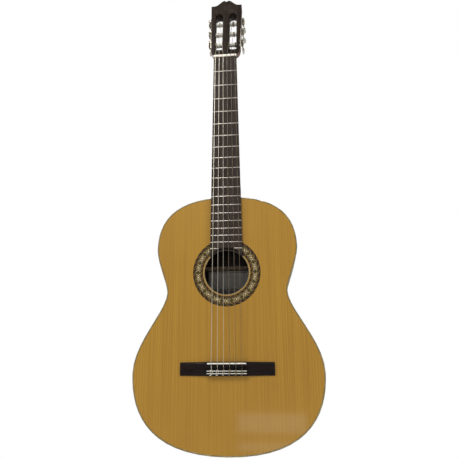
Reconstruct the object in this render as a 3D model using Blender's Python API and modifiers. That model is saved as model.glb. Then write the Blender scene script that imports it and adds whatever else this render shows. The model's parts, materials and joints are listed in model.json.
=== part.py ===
"""Classical guitar, built from the pieces that a luthier makes and fits.

Metres. +Z runs up the neck towards the head, the soundboard faces -Y and +X is the right of someone
who looks at the front. The origin is at the front edge of the nut, on the glue plane of the fingerboard.
"""

import math

import bmesh
import bpy
from mathutils import Matrix, Vector

# Driving dimensions ------------------------------------------------------------------------------

GAP = 0.0003                      # left between two pieces that touch
OVERSHOOT = 0.010                 # how far a cutter reaches past what it cuts

SCALE_LENGTH = 0.650
NUT_HALF_WIDTH = 0.025
TWELFTH_HALF_WIDTH = 0.030
FRET_COUNT = 19
NUT_STRING_SPREAD = 0.0430        # sixth string to first
SADDLE_STRING_SPREAD = 0.0565
STRING_RADII = (0.000355, 0.000410, 0.000515, 0.000370, 0.000455, 0.000570)   # first to sixth

# Body: one half of its outline, as the three widest and narrowest places, and how far each curve runs on.
HEEL_Z = -SCALE_LENGTH / 2
TAIL_Z = -0.8096
UPPER_BOUT = (0.1387, -0.4307)
WAIST = (0.1165, -0.5171)
LOWER_BOUT = (0.1792, -0.6668)
HEEL_RUN = 0.1009
UPPER_RUNS = (0.0643, 0.0258)
WAIST_RUNS = (0.0174, 0.0343)
LOWER_RUNS = (0.0568, 0.0701)
TAIL_RUN = 0.1447
OUTLINE_STEPS = (13, 7, 10, 15)   # points on each of the four curves
HEEL_DEPTH = 0.094
TAIL_DEPTH = 0.100
BACK_RADIUS = 7.5                 # of the shallow dish in the back
PLATE = 0.0025
RIB = 0.0020
BINDING_WIDTH = 0.0022
BINDING_HEIGHT = 0.0050
LINING_WIDTH = 0.0050
LINING_HEIGHT = 0.0140
SEAM = 0.0002                     # half the seam between the two ribs
BACK_RINGS = (1.0, 0.66, 0.33)    # of points on the back, as shares of its outline

SOUNDHOLE_Z = -0.4792
SOUNDHOLE_RADIUS = 0.0436
ROSETTE_RADII = (0.0468, 0.0660)
ROSETTE_THICKNESS = 0.0009
ROUND_STEPS = 48

# Neck and fingerboard
FINGERBOARD = 0.0060
FINGERBOARD_END_Z = -0.4685       # middle of the arc that the lower end is cut to
FINGERBOARD_END_RADIUS = 0.0374
FRET_SLOT = (0.0006, 0.0018)      # width and depth
NUT_LENGTH = 0.0047
NUT_HEIGHT = 0.0082
NUT_STRING_HEIGHT = 0.0074
NECK_DEPTH_NUT = 0.0155
NECK_DEPTH_HEEL = 0.0180
HEEL_START_Z = -0.2650
HEEL_TOE = 0.0140                 # the heel's reach beyond the body, at its cap
HEEL_NARROWING = 0.293            # share of its width that the heel loses by its cap
HEEL_CAP = 0.0027
HEEL_BLANK = ((0.0003, 0.128), (0.0070, 0.110))   # above the body's edge, and depth before it is trimmed
NECK_STATIONS = (-0.190, -0.100, -0.035, -0.008)
NECK_SQUARENESS = 2.4             # of its section: 2 is an ellipse
SCARF_RUN = 0.067                 # how far the scarf joint runs back along the neck

# Head, in its own frame: X right, Y into its depth, Z up along it
HEAD_Z = 0.005
HEAD_TILT = math.radians(13.0)
HEAD_WOOD = 0.0175
VENEER = 0.0025
HEAD_TAPER = math.radians(1.6)
HEAD_MIDDLE = (0.0336, 0.080)     # half width, and where it is taken
SHOULDER_TOP = 0.014
HEAD_BLANK_START = 0.021          # above this the head is a flat board
HEAD_BLENDS = ((0.001, 2.6), (0.004, 3.0), (0.007, 3.8), (0.010, 5.0), (0.014, 7.0), (0.020, 10.0))
BURIED = 0.0030                   # how far the neck blank runs on inside the flat board
CORNER_Z = 0.1682
CREST_FOOT = (0.0275, 0.1686)
CREST_LOBE = (0.0055, 0.1857)
CREST_NOTCH = 0.1818
CREST_RISE = ((-0.0075, 0.0), (0.0060, 0.0003))     # handles of the curve from its foot to its lobe
CREST_FALL = ((-0.0026, 0.0), (0.0010, 0.0014))     # and from the lobe down to the notch
SLOT_X = 0.0159
SLOT_HALF_WIDTH = 0.00845
SLOT_TOP = 0.1385
SLOT_ROUND_END = 0.0365           # lowest point of the part of the slot that goes right through
SLOT_RAMP = (0.012, 0.044)        # where the ramp starts on the front and where it leaves the back
SLOT_RAMP_INSET = 0.0003          # the ramp's trough is this much narrower than the slot, on each side

# Tuning machines, in a frame on the outer face of the head: X outwards, Y into the depth, Z up the side
ROLLER_DEPTH = 0.0095
ROLLER_PITCH = 0.035
ROLLER_RADIUS = 0.0050
ROLLER_REACH = 0.0305             # inwards, into the middle bar
ROLLER_COLLAR = 0.0025
ROLLER_SEAT = 0.0017
ROLLER_SHOULDER = -0.0006
ROLLER_CHAMFER = 0.0005
ROLLER_SEAT_SPARE = 0.0004        # how far its seat stands out of the gear
ROLLER_BORE_SPARE = 0.0008        # depth of the bore past the roller's inner end
BORE_CLEARANCE = 0.0003
TUNER_PLATE = (0.0003, 0.0015)    # from and to, outwards
TUNER_PLATE_DEPTHS = (-0.0100, 0.0080)
TUNER_PLATE_ENDS = (-0.0540, 0.0485)
PLATE_CORNER = 0.004
GEAR_TEETH = 14
GEAR_FACE = (0.0037, 0.0063)
WORM_PITCH = 0.0025
WORM_RADIUS = 0.0025              # at the pitch line
WORM_TURNS = 1.5                  # each way from its middle
WORM_STEPS = 10                   # for each turn
TOOTH_SHARE = 0.34                # a tooth's thickness as a share of the pitch
FLANK = math.tan(math.radians(15.0))
ADDENDUM_WORM = 0.0007
ADDENDUM_GEAR = 0.0009
DEDENDUM = 0.0011
THREAD_BURIED = 0.0002            # how far the thread's foot lies inside the shaft
WORM_RELIEF = 0.0009              # bare core past each end of the thread
WORM_X = (GEAR_FACE[0] + GEAR_FACE[1]) / 2
GEAR_RADIUS = GEAR_TEETH * WORM_PITCH / (2 * math.pi)
CENTRE_DISTANCE = GEAR_RADIUS + WORM_RADIUS
SHAFT_RADIUS = 0.0014
SHAFT_FRONT = -0.0085
SHAFT_BACK = 0.0190
SHAFT_TENON = (0.0010, 0.0065)    # radius, and reach into the button
POST_DEPTHS = (0.0052, 0.0077)    # from the worm's middle, both ways
POST_HALF_WIDTH = 0.0026
POST_REACH = 0.0072
BUTTON_LENGTH = 0.0140
BUTTON_HALF_SIZES = (0.0062, 0.0036)
BUTTON_HUB = 0.0026
BUTTON_HUB_FADE = 0.85            # share of the hub's size that is gone at the far end
BUTTON_FULLNESS = 0.6
BUTTON_TURNS = (80.0, 10.0, 55.0, 35.0, 100.0, 60.0)   # degrees, first tuner to sixth

# Bridge: heights are measured from the soundboard, and v is the distance from the saddle towards the neck
BRIDGE_HALF_LENGTH = 0.0880
BRIDGE_EDGES = (0.0030, -0.0225)
BLOCK_HALF_LENGTH = 0.0385
BLOCK_HEIGHT = 0.0078
BLOCK_CHAMFER = 0.0012
CHANNEL_SLOPE = (-0.0028, -0.0080)
CHANNEL_HEIGHT = 0.0040
TIE_BLOCK = (-0.0120, -0.0190)
TIE_HEIGHT = 0.0086
TIE_HOLE_RADIUS = 0.0009
TIE_HOLE_HEIGHT = 0.0055
REAR_LEDGE_HEIGHTS = (0.0034, 0.0024)
WING_HEIGHT = 0.0050
WING_BASE = 0.00042
WING_END_HEIGHT = 0.55            # share of the height that is left at the tips
WING_END_WIDTH = 0.96             # share of the width that is left at the tips
TRIM = 0.0009
TRIM_HALF_LENGTH = 0.0368
SADDLE_HALF_LENGTH = 0.0360
SADDLE_HALF_WIDTH = 0.0012
SADDLE_SLOT_FLOOR = 0.0040
SADDLE_HEIGHT = 0.0120
STRING_CLEARANCE = 0.00015
STRING_TAIL = 0.0012              # what stands out behind the tie block
STRING_TIE_EXIT = 0.0006          # how far it runs straight out of the tie block's front
STRING_ON_SADDLE = (-0.0018, 0.0014)
STRING_PAST_NUT = 0.0004          # straight run past each face of the nut
STRING_LANDINGS = {-1: 0.0202, 0: 0.0168, 1: 0.0145}   # on the rollers: across the head, by row

# Braces inside the body
BAR_WIDTH = 0.0060
BAR_HEIGHT = 0.0160
BACK_BRACE_WIDTH = 0.0080
BACK_BRACE_HEIGHT = 0.0150
HARMONIC_BAR_Z = (-0.4190, -0.5400)
BACK_BRACE_Z = (-0.3850, -0.4560, -0.6200)
BRACE_FALL = 0.6                  # share of its height that a brace loses at its ends
FAN_TOP_Z = -0.5580
FAN_SPREAD_TOP = 0.021
FAN_SPREAD_END = 0.044
FAN_CLOSING_Z = -0.7830
FAN_CLOSING_RISE = 0.35
STRUT_WIDTH = 0.0060
STRUT_HEIGHT = 0.0045
CLOSING_HEIGHT = 0.00405
CLOSING_REACH = 0.1012
CLOSING_OVERLAP = 0.004
BLOCK_HALF_WIDTH = 0.032
NECK_BLOCK_LENGTH = 0.028
NECK_FOOT_LENGTH = 0.052
NECK_FOOT_DEPTH = 0.014
NECK_FOOT_SHARE = 0.8             # of the block's width
TAIL_BLOCK_LENGTH = 0.016

# Scene and materials -----------------------------------------------------------------------------

for old in list(bpy.data.objects):
    bpy.data.objects.remove(old, do_unlink=True)


def new_collection(name, shown=True):
    made = bpy.data.collections.new(name)
    bpy.context.scene.collection.children.link(made)
    made.hide_render = not shown
    return made


PARTS = new_collection("classical_guitar")
CUTTERS = new_collection("cutters", shown=False)


def new_material(name, colour, roughness, metallic=0.0):
    made = bpy.data.materials.new(name)
    made.use_nodes = True
    shader = made.node_tree.nodes["Principled BSDF"]
    shader.inputs["Base Color"].default_value = (*colour, 1.0)
    shader.inputs["Roughness"].default_value = roughness
    shader.inputs["Metallic"].default_value = metallic
    made.diffuse_color = (*colour, 1.0)
    return made


CEDAR = new_material("cedar_top", (0.52, 0.26, 0.07), 0.25)
MAHOGANY = new_material("mahogany", (0.16, 0.06, 0.025), 0.35)
ROSEWOOD = new_material("rosewood", (0.06, 0.025, 0.015), 0.30)
DARK_VENEER = new_material("head_veneer", (0.045, 0.025, 0.017), 0.25)
EBONY_BROWN = new_material("fingerboard_wood", (0.05, 0.03, 0.022), 0.45)
INNER_WOOD = new_material("inner_spruce", (0.55, 0.38, 0.20), 0.70)
BONE = new_material("bone", (0.78, 0.70, 0.55), 0.35)
NICKEL = new_material("nickel", (0.62, 0.58, 0.50), 0.25, 1.0)
BRASS = new_material("brass", (0.70, 0.50, 0.22), 0.30, 1.0)
PEARL = new_material("pearloid", (0.80, 0.78, 0.72), 0.25)
ROLLER_PLASTIC = new_material("roller_plastic", (0.80, 0.78, 0.72), 0.40)
NYLON = new_material("nylon", (0.70, 0.65, 0.55), 0.20)
WOUND = new_material("wound_string", (0.66, 0.60, 0.50), 0.35, 1.0)
MOSAIC = new_material("rosette_mosaic", (0.16, 0.10, 0.04), 0.30)

# Helpers that make objects -----------------------------------------------------------------------


def place(obj, look, group=PARTS, parent=None):
    group.objects.link(obj)
    if look:
        obj.data.materials.append(look)
    if parent:
        obj.parent = parent
    if group is CUTTERS:
        obj.hide_render = True
        obj.display_type = "WIRE"
    return obj


def frame(name, location, rotation=(0.0, 0.0, 0.0), parent=None, mirrored=False):
    empty = bpy.data.objects.new(name, None)
    empty.location = location
    empty.rotation_euler = rotation
    empty.scale.x = -1.0 if mirrored else 1.0
    PARTS.objects.link(empty)
    empty.parent = parent
    return empty


def mesh_from(name, bm):
    bmesh.ops.recalc_face_normals(bm, faces=bm.faces)
    mesh = bpy.data.meshes.new(name)
    bm.to_mesh(mesh)
    bm.free()
    return mesh


def smooth(mesh, degrees=35.0):
    mesh.shade_smooth()
    mesh.set_sharp_from_angle(angle=math.radians(degrees))


def loft_mesh(name, rings):
    """A closed solid through rings that have the same number of points."""
    bm = bmesh.new()
    rows = [[bm.verts.new(point) for point in ring] for ring in rings]
    for lower, upper in zip(rows, rows[1:]):
        for here in range(len(lower)):
            there = (here + 1) % len(lower)
            bm.faces.new((lower[here], lower[there], upper[there], upper[here]))
    bm.faces.new(rows[0][::-1])
    bm.faces.new(rows[-1])
    mesh = mesh_from(name, bm)
    smooth(mesh)
    return mesh


def box(name, low, high, look=None, group=PARTS, parent=None):
    bm = bmesh.new()
    size = [high[axis] - low[axis] for axis in range(3)]
    middle = [(high[axis] + low[axis]) / 2 for axis in range(3)]
    bmesh.ops.create_cube(bm, size=1.0, matrix=Matrix.Translation(middle) @ Matrix.Diagonal((*size, 1.0)))
    return place(bpy.data.objects.new(name, mesh_from(name, bm)), look, group, parent)


def rods(name, places, radius, length, steps=12, parent=None):
    """One cutter made of equal cylinders, each with its middle and its axis from a matrix."""
    bm = bmesh.new()
    for matrix in places:
        bmesh.ops.create_cone(
            bm, cap_ends=True, segments=steps, radius1=radius, radius2=radius, depth=length, matrix=matrix
        )
    return place(bpy.data.objects.new(name, mesh_from(name, bm)), None, CUTTERS, parent)


def turned(name, profile, look, steps=16, parent=None):
    """A solid of revolution about Z, from (radius, z) points that run from its top to its bottom."""
    mesh = bpy.data.meshes.new(name)
    points = [(radius, 0.0, z) for radius, z in profile]
    mesh.from_pydata(points, [(step, step + 1) for step in range(len(points) - 1)], [])
    obj = place(bpy.data.objects.new(name, mesh), look, parent=parent)
    spin = obj.modifiers.new("Turn", "SCREW")
    spin.axis = "Z"
    spin.angle = 2 * math.pi
    spin.steps = steps
    spin.render_steps = steps
    spin.use_merge_vertices = True
    spin.merge_threshold = 0.00001
    spin.use_smooth_shade = True
    return obj


def sheet(name, outlines, near, far, look, group=PARTS, parent=None):
    """A flat piece between the depths near and far, from (x, z) outlines; an inner outline is a hole."""
    curve = bpy.data.curves.new(name, "CURVE")
    curve.dimensions = "2D"
    curve.fill_mode = "BOTH"
    curve.extrude = (far - near) / 2
    for outline in outlines:
        spline = curve.splines.new("POLY")
        spline.points.add(len(outline) - 1)
        spline.use_cyclic_u = True
        for point, (x, z) in zip(spline.points, outline):
            point.co = (x, z, 0.0, 1.0)
    flat = bpy.data.objects.new(name, curve)
    middle = Matrix.Translation((0.0, (near + far) / 2, 0.0))
    flat.matrix_world = middle @ Matrix.Rotation(math.pi / 2, 4, "X")
    bpy.context.scene.collection.objects.link(flat)
    graph = bpy.context.evaluated_depsgraph_get()
    mesh = bpy.data.meshes.new_from_object(flat.evaluated_get(graph))
    mesh.transform(flat.matrix_world)
    bpy.data.objects.remove(flat, do_unlink=True)
    bpy.data.curves.remove(curve)
    bm = bmesh.new()
    bm.from_mesh(mesh)
    bpy.data.meshes.remove(mesh)
    bmesh.ops.remove_doubles(bm, verts=bm.verts, dist=0.00001)
    return place(bpy.data.objects.new(name, mesh_from(name, bm)), look, group, parent)


def combine(obj, others, operation):
    for other in others:
        step = obj.modifiers.new(f"{operation.title()} {other.name}", "BOOLEAN")
        step.operation = operation
        step.solver = "EXACT"
        step.object = other


def as_cutter(obj):
    """The same shape again, as a helper that other pieces are cut or joined with."""
    return place(bpy.data.objects.new(obj.name + "_shape", obj.data), None, CUTTERS, obj.parent)


# Curves and surfaces that several pieces share ---------------------------------------------------


def bezier(controls, share):
    a, b, c, d = (Vector(point) for point in controls)
    rest = 1.0 - share
    point = a * rest**3 + b * (3 * rest**2 * share) + c * (3 * rest * share**2) + d * share**3
    heading = (b - a) * rest**2 + (c - b) * (2 * rest * share) + (d - c) * share**2
    return point, heading.normalized()


def body_curves():
    """The four curves down the right half of the body, from the heel to the tail."""
    upper, waist, lower = Vector(UPPER_BOUT), Vector(WAIST), Vector(LOWER_BOUT)
    up = Vector((0.0, 1.0))
    return (
        ((0.0, HEEL_Z), (HEEL_RUN, HEEL_Z), upper + up * UPPER_RUNS[0], upper),
        (upper, upper - up * UPPER_RUNS[1], waist + up * WAIST_RUNS[0], waist),
        (waist, waist - up * WAIST_RUNS[1], lower + up * LOWER_RUNS[0], lower),
        (lower, lower - up * LOWER_RUNS[1], (TAIL_RUN, TAIL_Z), (0.0, TAIL_Z)),
    )


def inset_point(curve, share, inset):
    point, heading = bezier(curve, share)
    return (max(point.x + heading.y * inset, 0.0), point.y - heading.x * inset)


def half_outline(inset=0.0):
    """Points (x, z) down the right half of the body, moved inwards by the inset."""
    curves = body_curves()
    points = []
    for curve, steps in zip(curves, OUTLINE_STEPS):
        points += [inset_point(curve, step / steps, inset) for step in range(steps)]
    return points + [inset_point(curves[-1], 1.0, inset)]


def outline_near_middle(curve, inset, reach):
    """Closely spaced points on one curve of the body, kept where they are nearer the middle than reach."""
    points = [inset_point(curve, step / 60, inset) for step in range(61)]
    return [(x, z) for x, z in points if x <= reach]


def mirrored(points):
    """The same points on the left, still in clockwise order."""
    return [(-x, z) for x, z in reversed(points)]


def whole_outline(inset=0.0):
    half = half_outline(inset)
    return half + mirrored(half)[1:-1]


def half_width(z, inset=0.0):
    """The widest that the body still is at this height."""
    points = half_outline(inset)
    for (x0, z0), (x1, z1) in zip(points, points[1:]):
        if z1 <= z <= z0:
            return x0 + (x1 - x0) * (z0 - z) / max(z0 - z1, 1e-9)
    return 0.0


def back_y(x, z):
    """Outer face of the back: it deepens towards the tail, with a shallow dish pressed into it."""
    along = (HEEL_Z - z) / (HEEL_Z - TAIL_Z)
    half_length = (HEEL_Z - TAIL_Z) / 2
    from_middle = z - (HEEL_Z + TAIL_Z) / 2
    dish = (half_length**2 - from_middle**2 - x**2) / (2 * BACK_RADIUS)
    return HEEL_DEPTH + (TAIL_DEPTH - HEEL_DEPTH) * along + dish


def circle(radius, z, steps=ROUND_STEPS):
    turns = [2 * math.pi * step / steps for step in range(steps)]
    return [(radius * math.sin(turn), z + radius * math.cos(turn)) for turn in turns]


def fret_z(number):
    return SCALE_LENGTH * (2 ** (-number / 12) - 1)


def board_half_width(z):
    return NUT_HALF_WIDTH - z * (TWELFTH_HALF_WIDTH - NUT_HALF_WIDTH) / -HEEL_Z


def string_x(number, spread):
    """Across the strings: the first is on the right, the sixth on the left."""
    return spread * (3.5 - number) / 5


# Body --------------------------------------------------------------------------------------------


def wall(name, points, near, far, thickness, look, closed=False):
    """A strip that stands on the outline between two depths, thickened inwards."""
    bm = bmesh.new()
    rows = [[bm.verts.new((x, edge(x, z), z)) for edge in (near, far)] for x, z in points]
    pairs = list(zip(rows, rows[1:]))
    if closed:
        pairs.append((rows[-1], rows[0]))
    for (first_near, first_far), (next_near, next_far) in pairs:
        bm.faces.new((first_near, next_near, next_far, first_far))
    mesh = bpy.data.meshes.new(name)
    bm.to_mesh(mesh)
    bm.free()
    smooth(mesh)
    obj = place(bpy.data.objects.new(name, mesh), look)
    thick = obj.modifiers.new("Thickness", "SOLIDIFY")
    thick.thickness = thickness
    thick.offset = -1.0
    thick.use_even_offset = True
    return obj


def make_ribs():
    points = half_outline()
    points[0] = (SEAM, points[0][1])
    points[-1] = (SEAM, points[-1][1])
    for name, run in (("rib_treble", points), ("rib_bass", mirrored(points))):
        wall(
            name,
            run,
            near=lambda x, z: BINDING_HEIGHT + GAP,
            far=lambda x, z: back_y(x, z) - BINDING_HEIGHT - GAP,
            thickness=RIB,
            look=MAHOGANY,
        )


def make_bindings():
    depths = {
        "top_binding": (lambda x, z: 0.0, lambda x, z: BINDING_HEIGHT),
        "back_binding": (lambda x, z: back_y(x, z) - BINDING_HEIGHT, back_y),
    }
    for name, (near, far) in depths.items():
        wall(name, whole_outline(), near, far, BINDING_WIDTH, ROSEWOOD, closed=True)


def make_linings():
    """The strips that give the plates a gluing edge inside, between the neck block and the tail block."""
    inset = BINDING_WIDTH + GAP
    points = [(x, z) for x, z in half_outline(inset) if x > BLOCK_HALF_WIDTH + GAP]
    for side, run in (("treble", points), ("bass", mirrored(points))):
        wall(
            f"top_lining_{side}",
            run,
            near=lambda x, z: PLATE + GAP,
            far=lambda x, z: PLATE + GAP + LINING_HEIGHT,
            thickness=LINING_WIDTH,
            look=INNER_WOOD,
        )
        wall(
            f"back_lining_{side}",
            run,
            near=lambda x, z: back_y(x, z) - PLATE - GAP - LINING_HEIGHT,
            far=lambda x, z: back_y(x, z) - PLATE - GAP,
            thickness=LINING_WIDTH,
            look=INNER_WOOD,
        )


def make_soundboard():
    board = sheet(
        "soundboard",
        [whole_outline(BINDING_WIDTH + GAP), circle(SOUNDHOLE_RADIUS, SOUNDHOLE_Z)],
        0.0,
        PLATE,
        CEDAR,
    )
    inner, outer = ROSETTE_RADII
    channel = sheet(
        "rosette_channel",
        [circle(outer + GAP, SOUNDHOLE_Z), circle(inner - GAP, SOUNDHOLE_Z)],
        -OVERSHOOT,
        ROSETTE_THICKNESS + GAP,
        None,
        CUTTERS,
    )
    combine(board, [channel], "DIFFERENCE")
    sheet("rosette", [circle(outer, SOUNDHOLE_Z), circle(inner, SOUNDHOLE_Z)], 0.0, ROSETTE_THICKNESS, MOSAIC)


def make_back():
    """The back follows its dish, so it is a fan of rings round its middle."""
    middle = (HEEL_Z + TAIL_Z) / 2
    outline = whole_outline(BINDING_WIDTH + GAP)
    bm = bmesh.new()
    rows = []
    for share in BACK_RINGS:
        ring = [(x * share, middle + (z - middle) * share) for x, z in outline]
        rows.append([bm.verts.new((x, back_y(x, z), z)) for x, z in ring])
    for outer, inner in zip(rows, rows[1:]):
        for here in range(len(outer)):
            there = (here + 1) % len(outer)
            bm.faces.new((outer[here], outer[there], inner[there], inner[here]))
    centre = bm.verts.new((0.0, back_y(0.0, middle), middle))
    for here in range(len(outline)):
        bm.faces.new((rows[-1][here], rows[-1][(here + 1) % len(outline)], centre))
    mesh = bpy.data.meshes.new("back_plate")
    bm.to_mesh(mesh)
    bm.free()
    smooth(mesh)
    obj = place(bpy.data.objects.new("back_plate", mesh), MAHOGANY)
    thick = obj.modifiers.new("Thickness", "SOLIDIFY")
    thick.thickness = PLATE
    thick.offset = -1.0


def brace(name, z, base, towards, half_length, width, height):
    """A bar across a plate: its base follows the plate, and its height falls away towards its ends."""
    rings = []
    for step in range(-4, 5):
        share = step / 4
        x = half_length * share
        rise = height * (1.0 - BRACE_FALL * abs(share) ** 4) * towards
        sections = ((-0.5, 0.0), (-0.5, 0.6), (-0.25, 1.0), (0.25, 1.0), (0.5, 0.6), (0.5, 0.0))
        rings.append([(x, base(x, z) + rise * up, z + width * across) for across, up in sections])
    return place(bpy.data.objects.new(name, loft_mesh(name, rings)), INNER_WOOD)


def make_braces():
    clear = BINDING_WIDTH + GAP + LINING_WIDTH + 2 * GAP
    for name, z in zip(("upper", "lower"), HARMONIC_BAR_Z):
        reach = min(half_width(z - BAR_WIDTH / 2, clear), half_width(z + BAR_WIDTH / 2, clear))
        brace(f"harmonic_bar_{name}", z, lambda x, z: PLATE + GAP, 1, reach, BAR_WIDTH, BAR_HEIGHT)
    for name, z in zip(("upper", "middle", "lower"), BACK_BRACE_Z):
        half = BACK_BRACE_WIDTH / 2
        reach = min(half_width(z - half, clear), half_width(z + half, clear))
        brace(
            f"back_brace_{name}",
            z,
            lambda x, z: back_y(x, z) - PLATE - 2 * GAP,
            -1,
            reach,
            BACK_BRACE_WIDTH,
            BACK_BRACE_HEIGHT,
        )


def strut(name, start, end, height, look=None, group=CUTTERS):
    """A straight bar glued under the soundboard, between two (x, z) points."""
    run = Vector(end) - Vector(start)
    across = Vector((-run.y, run.x)).normalized() * STRUT_WIDTH / 2
    corners = [Vector(start) + across, Vector(start) - across, Vector(end) - across, Vector(end) + across]
    base = PLATE + GAP
    return sheet(name, [[tuple(corner) for corner in corners]], base, base + height, look, group)


def make_fan():
    def closing(x):
        return (x, FAN_CLOSING_Z + abs(x) * FAN_CLOSING_RISE)

    middle = strut("fan_bracing", (0.0, FAN_TOP_Z), closing(0.0), STRUT_HEIGHT, INNER_WOOD, PARTS)
    others = []
    for place_in_fan in (-2, -1, 1, 2):
        top = (FAN_SPREAD_TOP * place_in_fan, FAN_TOP_Z)
        name = f"fan_strut_{place_in_fan + 3}"
        others.append(strut(name, top, closing(FAN_SPREAD_END * place_in_fan), STRUT_HEIGHT))
    for side, sign in (("bass", -1), ("treble", 1)):
        start, end = closing(-CLOSING_OVERLAP * sign), closing(CLOSING_REACH * sign)
        others.append(strut(f"fan_closing_{side}", start, end, CLOSING_HEIGHT))
    combine(middle, others, "UNION")


def make_blocks():
    """The two blocks that join the ribs, the plates and the neck inside the body."""
    inset = BINDING_WIDTH + 3 * GAP
    upper = outline_near_middle(body_curves()[0], inset, BLOCK_HALF_WIDTH)
    lower = outline_near_middle(body_curves()[-1], inset, BLOCK_HALF_WIDTH)
    upper_end = HEEL_Z - NECK_BLOCK_LENGTH
    lower_end = TAIL_Z + TAIL_BLOCK_LENGTH
    near = PLATE + GAP
    upper_far = back_y(BLOCK_HALF_WIDTH, HEEL_Z) - PLATE - 2 * GAP
    lower_far = back_y(BLOCK_HALF_WIDTH, TAIL_Z) - PLATE - 2 * GAP
    top_ring = upper + [(upper[-1][0], upper_end)]
    low_ring = [(lower[0][0], lower_end)] + lower
    neck_block = sheet("neck_block", [top_ring + mirrored(top_ring)[:-1]], near, upper_far, MAHOGANY)
    sheet("tail_block", [low_ring + mirrored(low_ring)[1:]], near, lower_far, MAHOGANY)
    foot = box(
        "neck_foot",
        (-BLOCK_HALF_WIDTH * NECK_FOOT_SHARE, near, upper_end - NECK_FOOT_LENGTH),
        (BLOCK_HALF_WIDTH * NECK_FOOT_SHARE, near + NECK_FOOT_DEPTH, upper_end + OVERSHOOT / 2),
        group=CUTTERS,
    )
    combine(neck_block, [foot], "UNION")


# Neck, heel and head -----------------------------------------------------------------------------

HEAD_MATRIX = Matrix.Translation((0.0, 0.0, HEAD_Z)) @ Matrix.Rotation(-HEAD_TILT, 4, "X")


def head_half_width(z):
    """Half the head's width: the shoulders open out from the nut, and the sides open out a little more."""
    side = HEAD_MIDDLE[0] + (z - HEAD_MIDDLE[1]) * math.tan(HEAD_TAPER)
    share = min(max(z / SHOULDER_TOP, 0.0), 1.0)
    return NUT_HALF_WIDTH + (side - NUT_HALF_WIDTH) * share * share * (3 - 2 * share)


def neck_ring(half, depth, squareness, matrix, steps=16):
    """A section that is flat in front and a rounded D behind; a deep one narrows towards the heel cap."""
    ring = []
    for step in range(steps + 1):
        turn = math.pi * step / steps
        y = depth * math.sin(turn) ** (2 / squareness)
        depth_share = max(y - NECK_DEPTH_HEEL, 0.0) / (HEEL_DEPTH - NECK_DEPTH_HEEL)
        across = half * (1 - HEEL_NARROWING * depth_share)
        x = math.copysign(abs(math.cos(turn)) ** (2 / squareness), math.cos(turn))
        ring.append(matrix @ Vector((across * x, y, 0.0)))
    return ring


def neck_stations():
    """Height and depth of the sections, from the body's edge up to the nut."""
    stations = [(HEEL_Z + above, depth) for above, depth in HEEL_BLANK]
    run = HEEL_START_Z - HEEL_Z - HEEL_TOE
    for degrees in range(90, -1, -15):
        turn = math.radians(degrees)
        depth = NECK_DEPTH_HEEL + (HEEL_DEPTH - NECK_DEPTH_HEEL) * (1 - math.cos(turn))
        stations.append((HEEL_START_Z - run * math.sin(turn), depth))
    for z in NECK_STATIONS:
        depth = NECK_DEPTH_NUT + (NECK_DEPTH_HEEL - NECK_DEPTH_NUT) * z / HEEL_START_Z
        stations.append((z, depth))
    return stations


def head_section(z, squareness, inset=0.0):
    matrix = HEAD_MATRIX @ Matrix.Translation((0.0, 0.0, z))
    return neck_ring(head_half_width(z) - inset, HEAD_WOOD - inset, squareness, matrix)


def neck_rings():
    rings = []
    for z, depth in neck_stations():
        station = Matrix.Translation((0.0, 0.0, z))
        rings.append(neck_ring(board_half_width(z), depth, NECK_SQUARENESS, station))
    rings += [head_section(z, squareness) for z, squareness in HEAD_BLENDS]
    last_squareness = HEAD_BLENDS[-1][1]
    return rings + [head_section(HEAD_BLANK_START + BURIED, last_squareness, BURIED)]


def half_space(name, low_y, high_y):
    """A big block between two depths, on both sides of the body's edge."""
    size = -HEEL_Z / 2
    return box(name, (-size, low_y, HEEL_Z - size), (size, high_y, HEEL_Z + size), group=CUTTERS)


def scarf_block(name, start):
    """What lies behind the scarf joint, on the head's side of it.

    The joint runs from the front of the neck under the nut to its back, further down.
    """
    slope = math.atan2(NECK_DEPTH_NUT, SCARF_RUN)
    size = -HEEL_Z / 2
    block = box(name, (-size, start, -2 * SCARF_RUN), (size, size, 2 * size), group=CUTTERS)
    block.matrix_world = Matrix.Translation((0.0, 0.0, HEAD_Z)) @ Matrix.Rotation(slope, 4, "X")
    return block


def make_neck():
    mesh = loft_mesh("neck", neck_rings())
    neck = place(bpy.data.objects.new("neck", mesh), MAHOGANY)
    blank = as_cutter(neck)
    cap_face = HEEL_DEPTH - HEEL_CAP
    combine(neck, [half_space("heel_cap_allowance", cap_face - GAP, HEEL_DEPTH * 2)], "DIFFERENCE")
    cap = place(bpy.data.objects.new("heel_cap", mesh.copy()), None)
    cap.data.materials.clear()
    cap.data.materials.append(ROSEWOOD)
    combine(cap, [half_space("heel_cap_slab", cap_face, HEEL_DEPTH)], "INTERSECT")
    combine(neck, [scarf_block("scarf_allowance", 0.0)], "DIFFERENCE")
    return blank, scarf_block("scarf_head_side", GAP)


def crest():
    """The top edge of the head, from its right corner to the notch in the middle."""
    points = [(head_half_width(CORNER_Z), CORNER_Z)]
    foot, lobe, notch = Vector(CREST_FOOT), Vector(CREST_LOBE), Vector((0.0, CREST_NOTCH))
    for start, end, handles, steps in ((foot, lobe, CREST_RISE, 8), (lobe, notch, CREST_FALL, 4)):
        curve = (start, start + Vector(handles[0]), end + Vector(handles[1]), end)
        points += [tuple(bezier(curve, step / steps)[0]) for step in range(steps)]
    return points + [tuple(notch)]


def shoulder_points(start):
    steps = 6
    if start >= SHOULDER_TOP:
        return [(head_half_width(start), start)]
    heights = [SHOULDER_TOP + (start - SHOULDER_TOP) * step / steps for step in range(steps + 1)]
    return [(head_half_width(z), z) for z in heights]


def head_outline(start):
    """Clockwise from the notch down the right side, and back up the left."""
    right = crest()[::-1] + shoulder_points(start)
    return right + mirrored(right)[:-1]


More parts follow.
